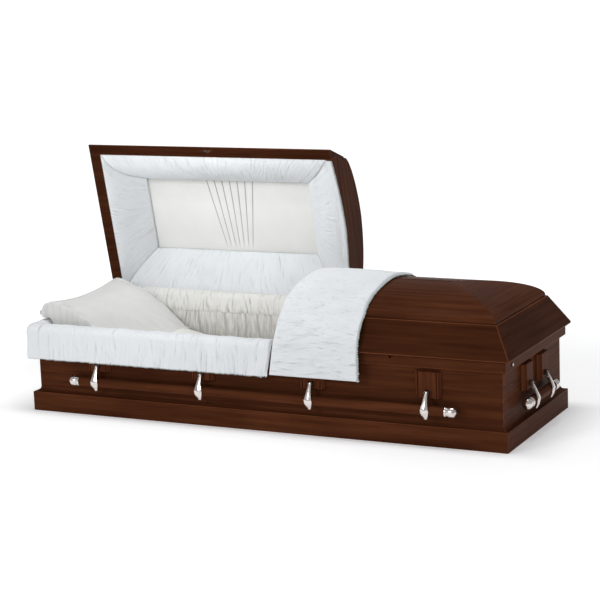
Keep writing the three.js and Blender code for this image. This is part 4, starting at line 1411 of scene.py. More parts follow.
@dataclass
class Fittings:
    """The hinge, the catches in the front rail and the lock cap on the foot end."""

    shop: Workshop
    cap_y: float = -0.2775
    cap_z: float = 0.325

    def lock_cap(self) -> None:
        """Turns the cap: a dark ring let in round a domed bright plug."""
        finishes = self.shop.finishes
        at = Matrix.Translation((1.0493, self.cap_y, self.cap_z))
        turn = self.shop.turnery.turn
        ring = turn(
            "lock_ring", [
                (0.0001, 0.0042), (0.0001, 0.0092), (0.0012, 0.0095), (0.0026, 0.0091),
                (0.0028, 0.0080), (0.0008, 0.0062), (0.0006, 0.0042),
            ], at, finishes.hinge_metal, 40,
        )
        cap = turn(
            "lock_plug", [
                (0.0007, 0.002), (0.0007, 0.0048), (0.0028, 0.0048), (0.0036, 0.0040),
                (0.0040, 0.0024), (0.0040, 0.0),
            ], at, finishes.polished_metal, 40,
        )
        for piece, slot in ((ring, "hinge_metal"), (cap, "polished_metal")):
            self.shop.fit(piece, slot, Body.CASKET.value, "lock_cap")

    def catch(self, name: str, x: float, body: Body) -> None:
        """Makes the catch plate in a lid's rail.

        Args:
            name: its name.
            x: its middle.
            body: the lid it is in.
        """
        front = -LID_HALF_WIDTH + 0.0135
        outline = [(-0.024, 0.001), (0.024, 0.001), (0.0115, 0.0095), (0.0, 0.0155), (-0.0115, 0.0095)]
        low, high = LID_BOTTOM + 0.0052, LID_BOTTOM + 0.0077
        data = bmesh.new()
        top, base = ([(x + dx, front + dy, z) for dx, dy in outline] for z in (high, low))
        block(data, top, base)
        at = Matrix.Translation((x + 0.004, front + 0.005, low - 0.0016))
        bmesh.ops.create_cone(
            data, cap_ends=True, segments=24, radius1=0.0026, radius2=0.0034, depth=0.0034, matrix=at,
        )
        bmesh.ops.recalc_face_normals(data, faces=data.faces)
        obj = worked(name, data)
        Handles.ease_edges(obj, 0.0004)
        if body is Body.HEAD_LID:
            move(obj.data, turned_open(points_of(obj.data)))
        self.shop.fit(obj, "hinge_metal", body.value)

    def screws(self) -> None:
        """Sets screw heads along the hinge's leaves."""
        head = self.shop.turnery.turn(
            "screw_pattern", [(0.0, 0.0030), (0.0004, 0.0030), (0.0007, 0.0022), (0.0007, 0.0)],
            Matrix.Rotation(-math.pi / 2, 4, "Y"), self.shop.finishes.hinge_metal, 10,
        )
        up = [((x, 0.3352, 0.3459), (0, 0, 0)) for x in np.arange(-0.96, 1.0, 0.08)]
        lid = np.array([[x, 0.3352, 0.3481] for x in np.arange(-0.96, 0.09, 0.08)])
        tilt = -OPEN_ANGLE + math.pi
        down = [(tuple(at), (tilt, 0, 0)) for at in turned_open(lid)]
        for key, stations, body in (("body", up, Body.CASKET), ("head_lid", down, Body.HEAD_LID)):
            row = self.shop.set_out.lay(f"hinge_screws_{key}", head, stations, self.shop.finishes.hinge_metal)
            self.shop.fit(row, "hinge_metal", body.value)
        bpy.data.objects.remove(head)

    def build(self) -> None:
        """Builds the fittings."""
        for node in ("hinge_body_leaf", "hinge_leaf_head_lid", "hinge_leaf_foot_lid"):
            self.shop.finishes.put(FRAME["nodes"][node], "hinge_metal")
        self.lock_cap()
        self.catch("head_lid_catch", -0.48525, Body.HEAD_LID)
        self.catch("foot_lid_catch", 0.58325, Body.FOOT_LID)
        self.screws()
        LOG.info("fittings: hinge, catches and lock cap")


# Cloth


def sunk(heights: Array, depth: float | Array) -> Array:
    """Returns how far each point sinks below the outer form, from folds' heights."""
    return (1 - heights) * depth


@dataclass
class LidLining:
    """A lid's gathered border and smooth panel, seen from below.

    Drawn for a lid that is closed with its end at -X. Its corners run from the front of the
    end, over the front of the cut and the back of the cut, to the back of the end.
    """

    shop: Workshop
    body: Body
    side: float = 0.158
    head: float = 0.126
    cut: float = 0.169
    depth: float = 0.149
    rail: float = 0.044
    end_rail: float = 0.050
    header: float = 0.022
    header_half: float = 0.3182
    header_rise: float = 0.056
    step: float = 0.0029
    rows: int = 34
    bows: tuple[float, float, float, float] = (0.022, 0.008, 0.004, 0.006)
    folds: Ruching = Ruching(0.0130, 0.10, 11)
    bottom: float = LID_BOTTOM + 0.001
    pleats: int = 7
    pleat_middle: float = 0.411
    pleat_top: float = 0.0385
    pleat_foot: float = 0.0195

    def cut_x(self) -> float:
        """Returns the lid's cut."""
        return HEAD_CUT if self.body is Body.HEAD_LID else -FOOT_CUT

    def stand(self, points: Array) -> Array:
        """Puts points of the drawn lid where the lid stands."""
        return turned_open(points) if self.body is Body.HEAD_LID else points * (-1, -1, 1)

    def corners(self, share: float) -> Array:
        """Returns the border's four corners at a share of its width, bowed as the seams are."""
        gap = 0.0006
        y = LID_HALF_WIDTH - self.rail - gap - share * self.side
        x0 = -LID_HALF_LENGTH + self.end_rail + gap + share * self.head
        x1 = self.cut_x() - self.header - gap - share * self.cut
        bow = np.array(self.bows) * math.sin(math.pi * share)
        turn = np.array([[-1, 1], [1, 1], [1, -1], [-1, -1]]) * 0.707
        return np.array([[x0, -y], [x1, -y], [x1, y], [x0, y]]) + turn * bow[:, None]

    def arch(self, y: Array) -> Array:
        """Returns how high the header's lower edge arches."""
        return self.header_rise * (1 - np.minimum(1, np.abs(y) / self.header_half) ** 1.6)

    def rise(self, shares: Array) -> Array:
        """Returns the border's depth in the lid, across its width."""
        known = [0.012, 0.035, 0.10, 0.20, 0.32, 0.46, 0.62, 0.79, 0.955]
        return self.depth * np.interp(shares, np.linspace(0, 1, 9), known)

    def border(self) -> Object:
        """Returns the gathered border as one closed ring with mitre seams."""
        shares = np.linspace(0, 1, self.rows)
        lines = np.array([self.corners(share) for share in shares])
        plan, fold, along, arched = [], [], [], []
        for i in range(4):
            a, b = lines[:, i], lines[:, (i + 1) % 4]
            length = np.linalg.norm(b[0] - a[0])
            steps = int(length / self.step)
            t = (np.arange(steps) + 0.5) / steps
            place = a[None] + (b - a)[None] * t[:, None, None]
            start = t * length + 3.1 * i
            # Near the mitre seams the fold value drops: the cloth sinks there and takes a painted shade in
            # the corners.
            seam = np.clip(np.minimum(t, 1 - t) * length / 0.009, 0.12, 1)[:, None]
            height = self.folds.heights(start[:, None], (shares * self.side)[None, :])
            plan.append(place)
            fold.append(height * seam**0.5)
            along.append(start)
            lift = self.arch(place[..., 1]) if i == 1 else 0 * place[..., 1]
            arched.append(lift * (1 - shares[None, :]) ** 1.3)
        plan, fold = np.concatenate(plan), np.concatenate(fold)
        length, arched = np.concatenate(along), np.concatenate(arched)
        edge = np.clip(shares / 0.08, 0.1, 1) * np.clip((1 - shares) / 0.05, 0.3, 1)
        full = (0.4 + 0.6 * np.sin(math.pi * shares) ** 0.6) * edge
        z = self.bottom + self.rise(shares)[None, :] * (1 - arched / self.depth) + arched
        z = z + sunk(fold, 0.0085) * full[None, :]
        front = np.concatenate([plan, z[..., None]], -1)
        lift = np.interp(shares, [0, 0.08, 0.3, 0.7, 1.0], [0.004, 0.018, 0.046, 0.040, 0.008])
        hidden = np.minimum(z + lift[None, :], self.bottom + self.depth - 0.0006)
        back = np.concatenate([plan, np.maximum(hidden, z + 0.001)[..., None]], -1)
        flat = pairs(length, shares * 0.16)
        name = "head_lid_border" if self.body is Body.HEAD_LID else "foot_lid_dish"
        return closed_grid(name, self.stand(front), self.stand(back), True, fold, flat)

    def pleat_lines(self) -> list[tuple[float, float]]:
        """Returns each pleat's place at the panel's top and foot, from the border's end edge."""
        middle = -LID_HALF_LENGTH + self.end_rail + self.head + self.pleat_middle
        first = -(self.pleats - 1) / 2
        return [
            (middle + (first + i) * self.pleat_top, middle + 0.006 + (first + i) * self.pleat_foot)
            for i in range(self.pleats)
        ]

    def panel(self) -> Object:
        """Returns the smooth panel with its fan of pleats, or the foot lid's plain one."""
        x0 = -LID_HALF_LENGTH + self.end_rail + self.head - 0.012
        x1 = self.cut_x() - self.header - self.cut + 0.012
        y1 = LID_HALF_WIDTH - self.rail - self.side + 0.012
        low = self.bottom + self.depth
        fanned = self.body is Body.HEAD_LID
        columns, rows = (440, 84) if fanned else (60, 30)
        x = np.linspace(x0, x1, columns)[:, None] + np.zeros((1, rows))
        y = np.linspace(-y1, y1, rows)[None, :] + np.zeros((columns, 1))
        step, crease = np.zeros_like(x), np.zeros_like(x)
        for top, foot in self.pleat_lines() if fanned else []:
            away = x - (top + (foot - top) * (y + y1) / (2 * y1))
            fade = np.clip((y1 - y) / 0.06, 0.35, 1)
            step = np.maximum(step, np.exp(-np.abs(away) / np.where(away > 0, 0.016, 0.0014)) * fade)
            crease = np.maximum(crease, np.exp(-((away + 0.0008) / 0.0026) ** 2) * fade)
        soft = Noise(5).at(x * 3.2, y * 5.0) * 0.5 + Noise(8).at(x * 7, y * 60) * 0.12
        z = np.clip(low + 0.0034 - 0.0030 * step + 0.0026 * crease + soft * 0.0014,
                    low + 0.0002, low + 0.0054)
        front = np.stack([x, y, z], -1)
        back = np.stack([x, y, np.full_like(x, low + 0.0058)], -1)
        if not fanned:
            front[..., 2] -= 0.0066
            back[..., 2] -= 0.0066
        flat = np.stack([x, y], -1)
        # The fold value drops along the pleat creases and towards the top border: painted shade in the
        # creases and under the border.
        fold = (1 - crease) * np.interp(y + y1, [0, 0.10, 0.22], [0.54, 0.66, 1.0])
        name = "head_lid_satin" if fanned else "foot_lid_satin"
        return closed_grid(name, self.stand(front), self.stand(back), False, fold, flat)

    def edging(self, scallop: Object, stitch: Object) -> None:
        """Sets the scalloped trim along the cut and the stitches round the panel.

        Args:
            scallop: the pattern of one scallop.
            stitch: the pattern of one stitch.
        """
        finishes, lay = self.shop.finishes, self.shop.set_out.lay
        x = self.cut_x()
        y = np.arange(-0.312, 0.313, 0.0092)
        z = self.bottom + self.arch(y)
        slope = np.arctan2(np.gradient(z), np.gradient(y))
        at = turned_open(np.stack([np.full_like(y, x + 0.0004), y, z], -1))
        flat_on = Matrix.Rotation(-math.pi / 2, 3, "Y")
        trim = lay(
            "head_lid_scallops", scallop,
            [(tuple(p), tuple((Matrix.Rotation(a - OPEN_ANGLE, 3, "X") @ flat_on).to_euler()))
             for p, a in zip(at, slope)],
            finishes.crepe_cloth, 0.15, 3,
        )
        four = self.corners(0.985)
        inner = self.bottom + self.depth * 0.948
        points = []
        for i, spacing in ((3, 0.011), (2, 0.012), (0, 0.017)):
            a, b = four[i], four[(i + 1) % 4]
            count = int(np.linalg.norm(b - a) / spacing)
            turn = math.atan2(b[1] - a[1], b[0] - a[0])
            points += [((*(a + (b - a) * k / count), inner), turn) for k in range(1, count)]
        at = turned_open(np.array([place for place, _ in points]))
        base = Matrix.Rotation(-OPEN_ANGLE, 3, "X")
        turns = [tuple((base @ Matrix.Rotation(turn, 3, "Z")).to_euler()) for _, turn in points]
        stitches = lay(
            "head_lid_stitches", stitch, [(tuple(p), t) for p, t in zip(at, turns)],
            finishes.plain_cloth, 0.25, 5,
        )
        y = np.linspace(-0.3195, 0.3195, 142)
        z = self.bottom + self.arch(y) - 0.0026
        across = np.linspace(self.corners(0)[1, 0] - 0.002, x - 0.001, 5)
        strip = np.stack(np.broadcast_arrays(across[None, :], y[:, None], z[:, None]), -1)
        puffs = (0.0004 * np.sin(np.arange(len(y)) * 2.1))[:, None]
        cover = closed_grid(
            "head_lid_cut_cover", turned_open(strip + np.stack([0 * puffs, 0 * puffs, puffs], -1)),
            turned_open(strip + (0, 0, 0.0014)), flat=strip[..., :2],
        )
        for piece, slot in ((trim, "crepe_cloth"), (stitches, "plain_cloth"), (cover, "crepe_cloth")):
            self.shop.fit(piece, slot, self.body.value)

    def build(self) -> None:
        """Builds the lining of one lid."""
        head = self.body is Body.HEAD_LID
        border, panel = self.border(), self.panel()
        nodes = ("head_lid_cushion", "head_lid_panel") if head else ("foot_lid_lining",) * 2
        self.shop.fit(border, "crepe_cloth", self.body.value, nodes[0])
        self.shop.fit(panel, "satin_cloth" if head else "plain_cloth", self.body.value, nodes[1])
        if head:
            patterns = Trimmings(thick=0.0011).scallop(), Trimmings().stitch()
            self.edging(*patterns)
            for pattern in patterns:
                bpy.data.objects.remove(pattern)
        LOG.info("%s: lining", self.body.value)


@dataclass
class Trimmings:
    """Patterns of the small things that edge the cloth."""

    width: float = 0.0096
    reach: float = 0.0062
    thick: float = 0.0016

    def scallop(self) -> Object:
        """Returns one scallop, a flat half-round puff in the X-Y plane, facing +X."""
        return self.puff("scallop_pattern", 10, 5, (self.reach, self.width / 2, self.thick))

    def stitch(self) -> Object:
        """Returns one stitch, along X."""
        return self.puff("stitch_pattern", 8, 4, (0.0030, 0.0011, 0.0010))

    @staticmethod
    def puff(name: str, around: int, levels: int, half: Sequence[float]) -> Object:
        """Makes a small smooth puff.

        Args:
            name: its name.
            around: flats round it.
            levels: flats from pole to pole.
            half: half its size along X, Y and Z.

        Returns:
            The puff.
        """
        data = bmesh.new()
        bmesh.ops.create_uvsphere(data, u_segments=around, v_segments=levels, radius=1)
        bmesh.ops.scale(data, vec=half, verts=data.verts)
        obj = worked(name, data)
        shade_smooth(obj.data)
        return obj


@dataclass
class Skirt:
    """The lining's edge turned out over the rim, along the front and round the head end."""

    shop: Workshop
    hem: float = 0.229
    end_x: float = 0.066
    back_y: float = 0.300
    out: float = 0.050
    corner: float = 0.045
    arc: float = 0.06
    step: float = 0.0034
    rows: int = 64
    folds: Ruching = Ruching(0.0165, 0.16, 23, 0.8)
    free_end: float = 0.016

    def section(self) -> Array:
        """Returns the cloth's outer line as (out from the body's face, z)."""
        return smooth_line([
            (-0.030, 0.3468), (-0.0285, 0.357), (-0.016, 0.3672), (0.0, 0.3706), (0.018, 0.3704),
            (0.033, 0.3645), (0.0425, 0.351), (0.0455, 0.334), (0.0465, 0.305), (0.0478, 0.270),
            (0.0490, 0.245), (0.0490, self.hem),
        ], self.rows)

    def inside(self) -> Array:
        """Returns the cloth's inner line, resting on the lining and the rim."""
        return smooth_line([
            (-0.0290, 0.3466), (-0.020, 0.3467), (-0.010, 0.3467), (0.005, 0.3468), (0.018, 0.3468),
            (0.0225, 0.3445), (0.0255, 0.330), (0.0275, 0.300), (0.031, 0.270), (0.035, 0.250),
            (0.0375, 0.238), (0.0385, self.hem + 0.001),
        ], self.rows)

    def place(self, line: Array, station: Array) -> Array:
        """Sweeps a line along the front, round the corner and along the head end.

        Args:
            line: pairs of out and z, for every station.
            station: length from the front's foot end.

        Returns:
            The points.
        """
        out = line[..., 0]
        radius = np.maximum(out - (self.out + 0.0003 - self.corner), 0.006)
        centre_x = -HALF_LENGTH - out + radius
        centre_y = -HALF_WIDTH - out + radius
        front = self.end_x + HALF_LENGTH
        head = self.back_y + HALF_WIDTH
        t = station[:, None]
        on_front = held(t / front)
        on_arc = held((t - front) / self.arc) * math.pi / 2
        on_head = held((t - front - self.arc) / head)
        rise = held((line[..., 1] - self.hem - 0.02) / 0.09)
        end_x = self.end_x + self.free_end * rise * (1 - on_front) ** 8
        x = end_x + (centre_x - end_x) * on_front - radius * np.sin(on_arc)
        y = centre_y + (self.back_y - centre_y) * on_head - radius * np.cos(on_arc)
        return np.stack([x, y, line[..., 1]], -1)

    def build(self) -> None:
        """Builds and dresses the skirt."""
        total = self.end_x + HALF_LENGTH + self.arc + self.back_y + HALF_WIDTH
        station = np.linspace(0, total, int(total / self.step))
        line = self.section()
        normal = line_normals(line)
        normal *= np.where(normal[:, :1] + normal[:, 1:] < 0, -1, 1)
        lengths = lengths_along(line)
        share = lengths / lengths[-1]
        fold = self.folds.heights(station[:, None], lengths[None, :])
        loose = Noise(77).at(station[:, None] / 0.055, lengths[None, :] / 0.16)
        right = np.interp(station, [0, 0.35, 0.75, 1.1, 1.8], [1.0, 1.0, 0.7, 0.5, 0.6])
        growth = np.interp(share, [0, 0.15, 0.4, 0.55, 0.7, 1.0], [0.5, 0.6, 0.25, 0.6, 1.0, 0.9])
        depth = 0.0115 * growth[None, :] * right[:, None]
        sink = sunk(fold, depth) + np.clip(loose, -0.5, 0.5) * 0.006 * growth[None, :]
        sink = np.maximum(sink, -0.0012)
        wave = Noise(41).at(station / 0.021, 0 * station) * 0.0035 * right
        drop = held((share - 0.82) / 0.18)[None, :] * (0.002 + wave)[:, None]
        outer = line[None] - normal[None] * sink[..., None]
        outer[..., 1] += drop
        inner = np.broadcast_to(self.inside()[None], outer.shape).copy()
        inner[..., 1] += drop
        ends = held(np.minimum(station, total - station) / 0.010) ** 0.5
        middle = (outer + inner) / 2
        outer, inner = (middle + (side - middle) * ends[:, None, None] for side in (outer, inner))
        flat = pairs(station, lengths)
        obj = closed_grid(
            "skirt_cloth", self.place(outer, station), self.place(inner, station), False, fold, flat
        )
        self.shop.fit(obj, "crepe_cloth", Body.CASKET.value, "skirt")
        self.hem_trim(station, outer[:, -1], inner[:, -1])
        for piece in (obj, bpy.data.objects["skirt_scallops"]):
            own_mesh(piece)
        LOG.info("skirt: %d points", len(obj.data.vertices))

    def hem_trim(self, station: Array, outer: Array, inner: Array) -> None:
        """Sets scallops along the hem.

        Args:
            station: length along the skirt.
            outer: the hem's outer line as pairs of out and z.
            inner: its inner line.
        """
        at = np.arange(station[0] + 0.006, station[-1] - 0.004, 0.0105)
        middle = outer * 0.7 + inner * 0.3
        line = np.stack([np.interp(at, station, middle[:, i]) for i in (0, 1)], -1)
        places = self.place(line[:, None, :], at)[:, 0]
        along = np.gradient(places, axis=0)
        pattern = Trimmings().scallop()
        stations = []
        for place, way in zip(places, along):
            out = Vector((way[1], -way[0], 0)).normalized()
            down = Vector((0, 0, -1))
            turn = Matrix((down, out.cross(down), out)).transposed()
            stations.append((tuple(place), tuple(turn.to_euler())))
        trim = self.shop.set_out.lay(
            "skirt_scallops", pattern, stations, self.shop.finishes.crepe_cloth, 0.2, 9
        )
        self.shop.fit(trim, "crepe_cloth", Body.CASKET.value)
        bpy.data.objects.remove(pattern)


@dataclass
class Throw:
    """The cloth turned out at the cut, over the foot lid's crown and down its front."""

    shop: Workshop
    start: float = 0.1005
    end: float = 0.4605
    back_y: float = 0.215
    hem: float = 0.237
    spread: float = 0.027
    thickness: float = 0.0185
    columns: int = 96
    rows: int = 280
    folds: Ruching = Ruching(0.0125, 0.075, 57, 1.1)
    fold_depth: float = 0.0080

    def line(self) -> Array:
        """Returns the cloth's underside as (y, z), from its back end to its hem."""
        half = LID_HALF_WIDTH - CROWN_INSET
        over = []
        for y in np.linspace(self.back_y, -0.268, 15):
            share = (abs(y) / half) ** CROWN_FULLNESS
            over.append((y, CROWN_BASE + CROWN_RISE * (1 - share) ** (1 / CROWN_FULLNESS) + 0.0018))
        rest = [
            (-0.2950, 0.480), (-0.3320, 0.4470), (-0.3620, 0.3970), (-0.3722, 0.342),
            (-0.3727, 0.290), (-0.3727, self.hem),
        ]
        return smooth_line(over + rest, self.rows)

    def build(self) -> None:
        """Builds and dresses the throw."""
        line = self.line()
        normal = line_normals(line)
        normal *= np.where((normal[:, 1:] - normal[:, :1]) < 0, -1, 1)
        lengths = lengths_along(line)
        total = lengths[-1]
        u = np.linspace(0, 1, self.columns)
        width = self.end - self.start
        x = self.start + u * width
        fall = np.where(line[:, 0] < -0.3, 0.405 - line[:, 1], 0)
        hang = held(fall / (0.405 - self.hem))
        flare = self.spread * hang[:, None] * (1 - u)[None, :] ** 2
        edge_wave = Noise(91).at(lengths[:, None] / 0.020, 0 * u[None, :])
        frill = edge_wave * 0.004 * held((u - 0.92) / 0.08)[None, :]
        grid_x = x[None, :] - flare + frill - 0.004 * held((u - 0.9) / 0.1)[None, :]
        fold = self.folds.heights(
            lengths[:, None] + 0.10 * (x[None, :] - self.start), x[None, :] + 0 * lengths[:, None]
        )
        left = np.sqrt(held(1 - (1 - held(u / 0.07)) ** 2))
        right = np.sqrt(held(1 - (1 - held((1 - u) / 0.03)) ** 2))
        thinned = np.interp(line[:, 1], [0.47, 0.53], [0.62, 0.15])[:, None]
        body = left * right * (1 - thinned * held((u - 0.5) / 0.5) ** 1.5)
        first = np.sqrt(held(lengths / 0.012))
        last = np.sqrt(held((total - lengths) / 0.006))
        deep = self.thickness * np.interp(line[:, 1], [0.36, 0.48], [0.70, 1.0])
        bulk = body * (deep * first * last)[:, None]
        loose = Noise(61).at(lengths[:, None] / 0.11, x[None, :] / 0.16)
        height = bulk - sunk(fold, self.fold_depth) * body + np.minimum(loose, 0) * 0.006 * body
        height = np.maximum(height, 0.0008)
        yz = line[:, None, :] + normal[:, None, :] * height[..., None]
        front = np.concatenate([grid_x[..., None], yz], -1)
        under = line[:, None, :] + 0 * height[..., None]
        back = np.concatenate([grid_x[..., None], under], -1)
        flat = pairs(lengths, x)
        obj = closed_grid("throw_cloth", front, back, False, fold, flat)
        self.shop.fit(obj, "crepe_cloth", Body.FOOT_LID.value, "throw")
        self.edge_trim(lengths, line, normal)
        LOG.info("throw: %d points", len(obj.data.vertices))

    def edge_trim(self, lengths: Array, base: Array, normal: Array) -> None:
        """Sets scallops along the throw's free edge.

        Args:
            lengths: length along the cloth's section.
            base: the cloth's underside as pairs of y and z.
            normal: its outward directions.
        """
        at = np.arange(0.008, lengths[-1] - 0.004, 0.0098)
        y, z, ny, nz = (np.interp(at, lengths, values) for values in (*base.T, *normal.T))
        pattern = Trimmings(thick=0.0024).scallop()
        stations = [
            ((self.end - 0.0035, y[i] + ny[i] * 0.0045, z[i] + nz[i] * 0.0045),
             (math.atan2(-ny[i], nz[i]), 0, 0))
            for i in range(len(at))
        ]
        trim = self.shop.set_out.lay(
            "throw_scallops", pattern, stations, self.shop.finishes.crepe_cloth, 0.25, 13
        )
        self.shop.fit(trim, "crepe_cloth", Body.FOOT_LID.value)
        bpy.data.objects.remove(pattern)


@dataclass
class Bedding:
    """The mattress, the gathered wall lining, the roll at the back and the pillow."""

    shop: Workshop
    bed_top: float = 0.190
    bed_head: float = 0.320
    slope_length: float = 0.556
    roll_height: float = 0.061

    def bed_z(self, x: Array) -> Array:
        """Returns the mattress's height, which rises to the head."""
        head = -INNER_LENGTH + LINING
        share = held((head + self.slope_length - x) / self.slope_length)
        return self.bed_top + share * (self.bed_head - self.bed_top)

    def wall_lining(self) -> None:
        """Makes the lining of the four walls, gathered upright."""
        gap, pitch = 0.0005, 0.0048
        half_x, half_y = INNER_LENGTH - gap, INNER_WIDTH - gap
        corners = np.array([[-half_x, -half_y], [half_x, -half_y], [half_x, half_y], [-half_x, half_y]])
        heights = np.concatenate([np.linspace(0.0126, 0.30, 16), np.linspace(0.312, LINING_TOP, 8)])
        plan, inward = [], []
        for i in range(4):
            a, b = corners[i], corners[(i + 1) % 4]
            length = np.linalg.norm(b - a)
            steps = int(length / pitch)
            t = ((np.arange(steps) + 0.5) / steps)[:, None]
            way = (b - a) / length * LINING
            inner = a + way + (-way[1], way[0])
            end = b - way + (-way[1], way[0])
            plan.append(a + (b - a) * t)
            inward.append(inner + (end - inner) * t)
        outer, inner = np.concatenate(plan), np.concatenate(inward)
        around = np.arange(len(outer)) * pitch
        fold = Ruching(0.021, 0.16, 33).heights(around[:, None], heights[None, :])
        share = held((heights - 0.30) / 0.046)
        thick = (1 - 0.35 * share**3)[None, :] - sunk(fold, 0.22)
        way = (inner - outer)[:, None, :]
        front_plan = outer[:, None, :] + way * thick[..., None]
        z = np.broadcast_to(heights[None, :, None], (*fold.shape, 1))
        front = np.concatenate([front_plan, z], -1)
        back = np.concatenate([np.broadcast_to(outer[:, None, :], front_plan.shape), z], -1)
        flat = pairs(around, heights)
        # The fold value is scaled down towards the bed, a painted shade that darkens the lower wall.
        fold = fold * np.interp(heights, [0.18, 0.34], [0.22, 0.66])[None, :]
        obj = closed_grid("wall_lining_cloth", front, back, True, fold, flat)
        self.shop.fit(obj, "plain_cloth", Body.CASKET.value, "wall_lining")

    def back_roll(self) -> None:
        """Makes the soft roll between the back wall and the open lid."""
        low = LINING_TOP + 0.0004
        inner = INNER_WIDTH - LINING + 0.006
        outer = HINGE_Y - 0.007
        tall = self.roll_height - 0.001
        line = smooth_line([
            (outer - 0.004, low + tall * 0.30), (outer - 0.001, low + tall * 0.62),
            (outer - 0.006, low + tall * 0.90), (outer - 0.020, low + tall),
            (inner + 0.018, low + tall * 0.93), (inner + 0.005, low + tall * 0.68),
            (inner, low + tall * 0.40), (inner - 0.004, low + tall * 0.12),
            (inner - 0.0070, low - 0.012), (inner - 0.0052, low - 0.030),
        ], 34)
        start, end = -INNER_LENGTH + LINING + 0.0015, 0.0655
        x = np.linspace(start, end, int((end - start) / 0.0040))
        lengths = lengths_along(line)
        fold = Ruching(0.017, 0.10, 71).heights(x[:, None], lengths[None, :])
        middle = np.array([(inner + outer) / 2, low + tall * 0.42])
        away = line - middle
        reach = np.linalg.norm(away, axis=1)[None, :]
        ends = np.sqrt(np.clip(np.minimum(x - start, end - x) / 0.020, 0.02, 1))[:, None]
        size = (reach - sunk(fold, 0.0040)) / reach * ends
        yz = middle + away[None] * size[..., None]
        floor = np.stack([np.linspace(outer - 0.008, inner + 0.008, len(line)), np.full(len(line), low)], -1)
        floor_yz = middle + (floor - middle)[None] * np.clip(ends, 0.3, 1)[..., None]
        at = np.broadcast_to(x[:, None, None], (*fold.shape, 1))
        front, back = (np.concatenate([at, side], -1) for side in (yz, floor_yz))
        flat = pairs(x, lengths)
        # The fold value is lower towards the roll's bottom, a painted shade.
        fold = fold * np.interp(line[:, 1] - low, [-0.03, 0.045], [0.60, 0.86])[None, :]
        obj = closed_grid("back_roll_cloth", front, back, False, fold, flat)
        self.shop.fit(obj, "plain_cloth", Body.CASKET.value, "back_roll")
        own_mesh(obj)

    def stuffed(
        self, node: str, name: str, voxel: float, shrink: float, pressure: float, cap: float
    ) -> Object:
        """Fills a soft node's shape by a cloth simulation.

        Args:
            node: the node that gives the shape.
            name: its name.
            voxel: size of the remeshed cells.
            shrink: how far the shape is drawn in before it is filled.
            pressure: the filling's pressure.
            cap: how far a point may move.

        Returns:
            The filled piece.
        """
        obj = worked(name, merged(FRAME["nodes"][node].data, 2e-5))
        obj.data.materials.clear()
        apply(obj, "REMESH", mode="VOXEL", voxel_size=voxel)
        apply(obj, "SMOOTH", factor=0.5, iterations=6)
        start = points_of(obj.data) - normals_of(obj.data) * shrink
        move(obj.data, start)
        obj.data.update()
        cloth = obj.modifiers.new("fill", "CLOTH")
        settings = cloth.settings
        settings.quality = 4
        settings.mass = 0.3
        settings.tension_stiffness = 12
        settings.compression_stiffness = 12
        settings.bending_stiffness = 1.5
        settings.use_pressure = True
        settings.uniform_pressure_force = pressure
        settings.effector_weights.gravity = 0
        cloth.point_cache.frame_start = 1
        cloth.point_cache.frame_end = 20
        scene = bpy.context.scene
        for frame in range(1, 21):
            scene.frame_set(frame)
            bpy.context.view_layer.update()
        bake(obj)
        scene.frame_set(1)
        change = points_of(obj.data) - start
        far = np.linalg.norm(change, axis=1, keepdims=True)
        change *= np.minimum(1, cap / np.maximum(far, 1e-9))
        move(obj.data, start + change)
        low, high = (np.array(corner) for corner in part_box(node))
        points = points_of(obj.data)
        share = (points - points.min(0)) / (points.max(0) - points.min(0))
        move(obj.data, low + share * (high - low))
        shade_smooth(obj.data)
        return obj

    def crease(self, obj: Object, rule: Callable[[Array], Array], tone: float = 0.95) -> None:
        """Subdivides a filled piece once, presses wrinkles into it and paints shade in them.

        Args:
            obj: the piece.
            rule: gives each point's depth below the surface from its place.
            tone: the fold value of the cover away from the wrinkles; lower draws the whole cover towards the
                deep colour.
        """
        apply(obj, "SUBSURF", levels=1, render_levels=1)
        points = points_of(obj.data)
        depth = rule(points)
        move(obj.data, points - normals_of(obj.data) * depth[:, None])
        # Painted shade: the fold value falls with each wrinkle's depth.
        write(obj.data, "fold", held(tone - depth / 0.012))
        obj.data.update()

    def mattress(self) -> None:
        """Makes the bed."""
        obj = self.stuffed("mattress", "mattress_cloth", 0.014, 0.004, 3.0, 0.006)

        def quilting(points: Array) -> Array:
            """Returns soft dents in the cover."""
            noise = Noise(15).at(points[:, 0] * 7, points[:, 1] * 9)
            return 0.0015 + noise * 0.002

        self.crease(obj, quilting)
        self.shop.fit(obj, "plain_cloth", Body.CASKET.value, "mattress")

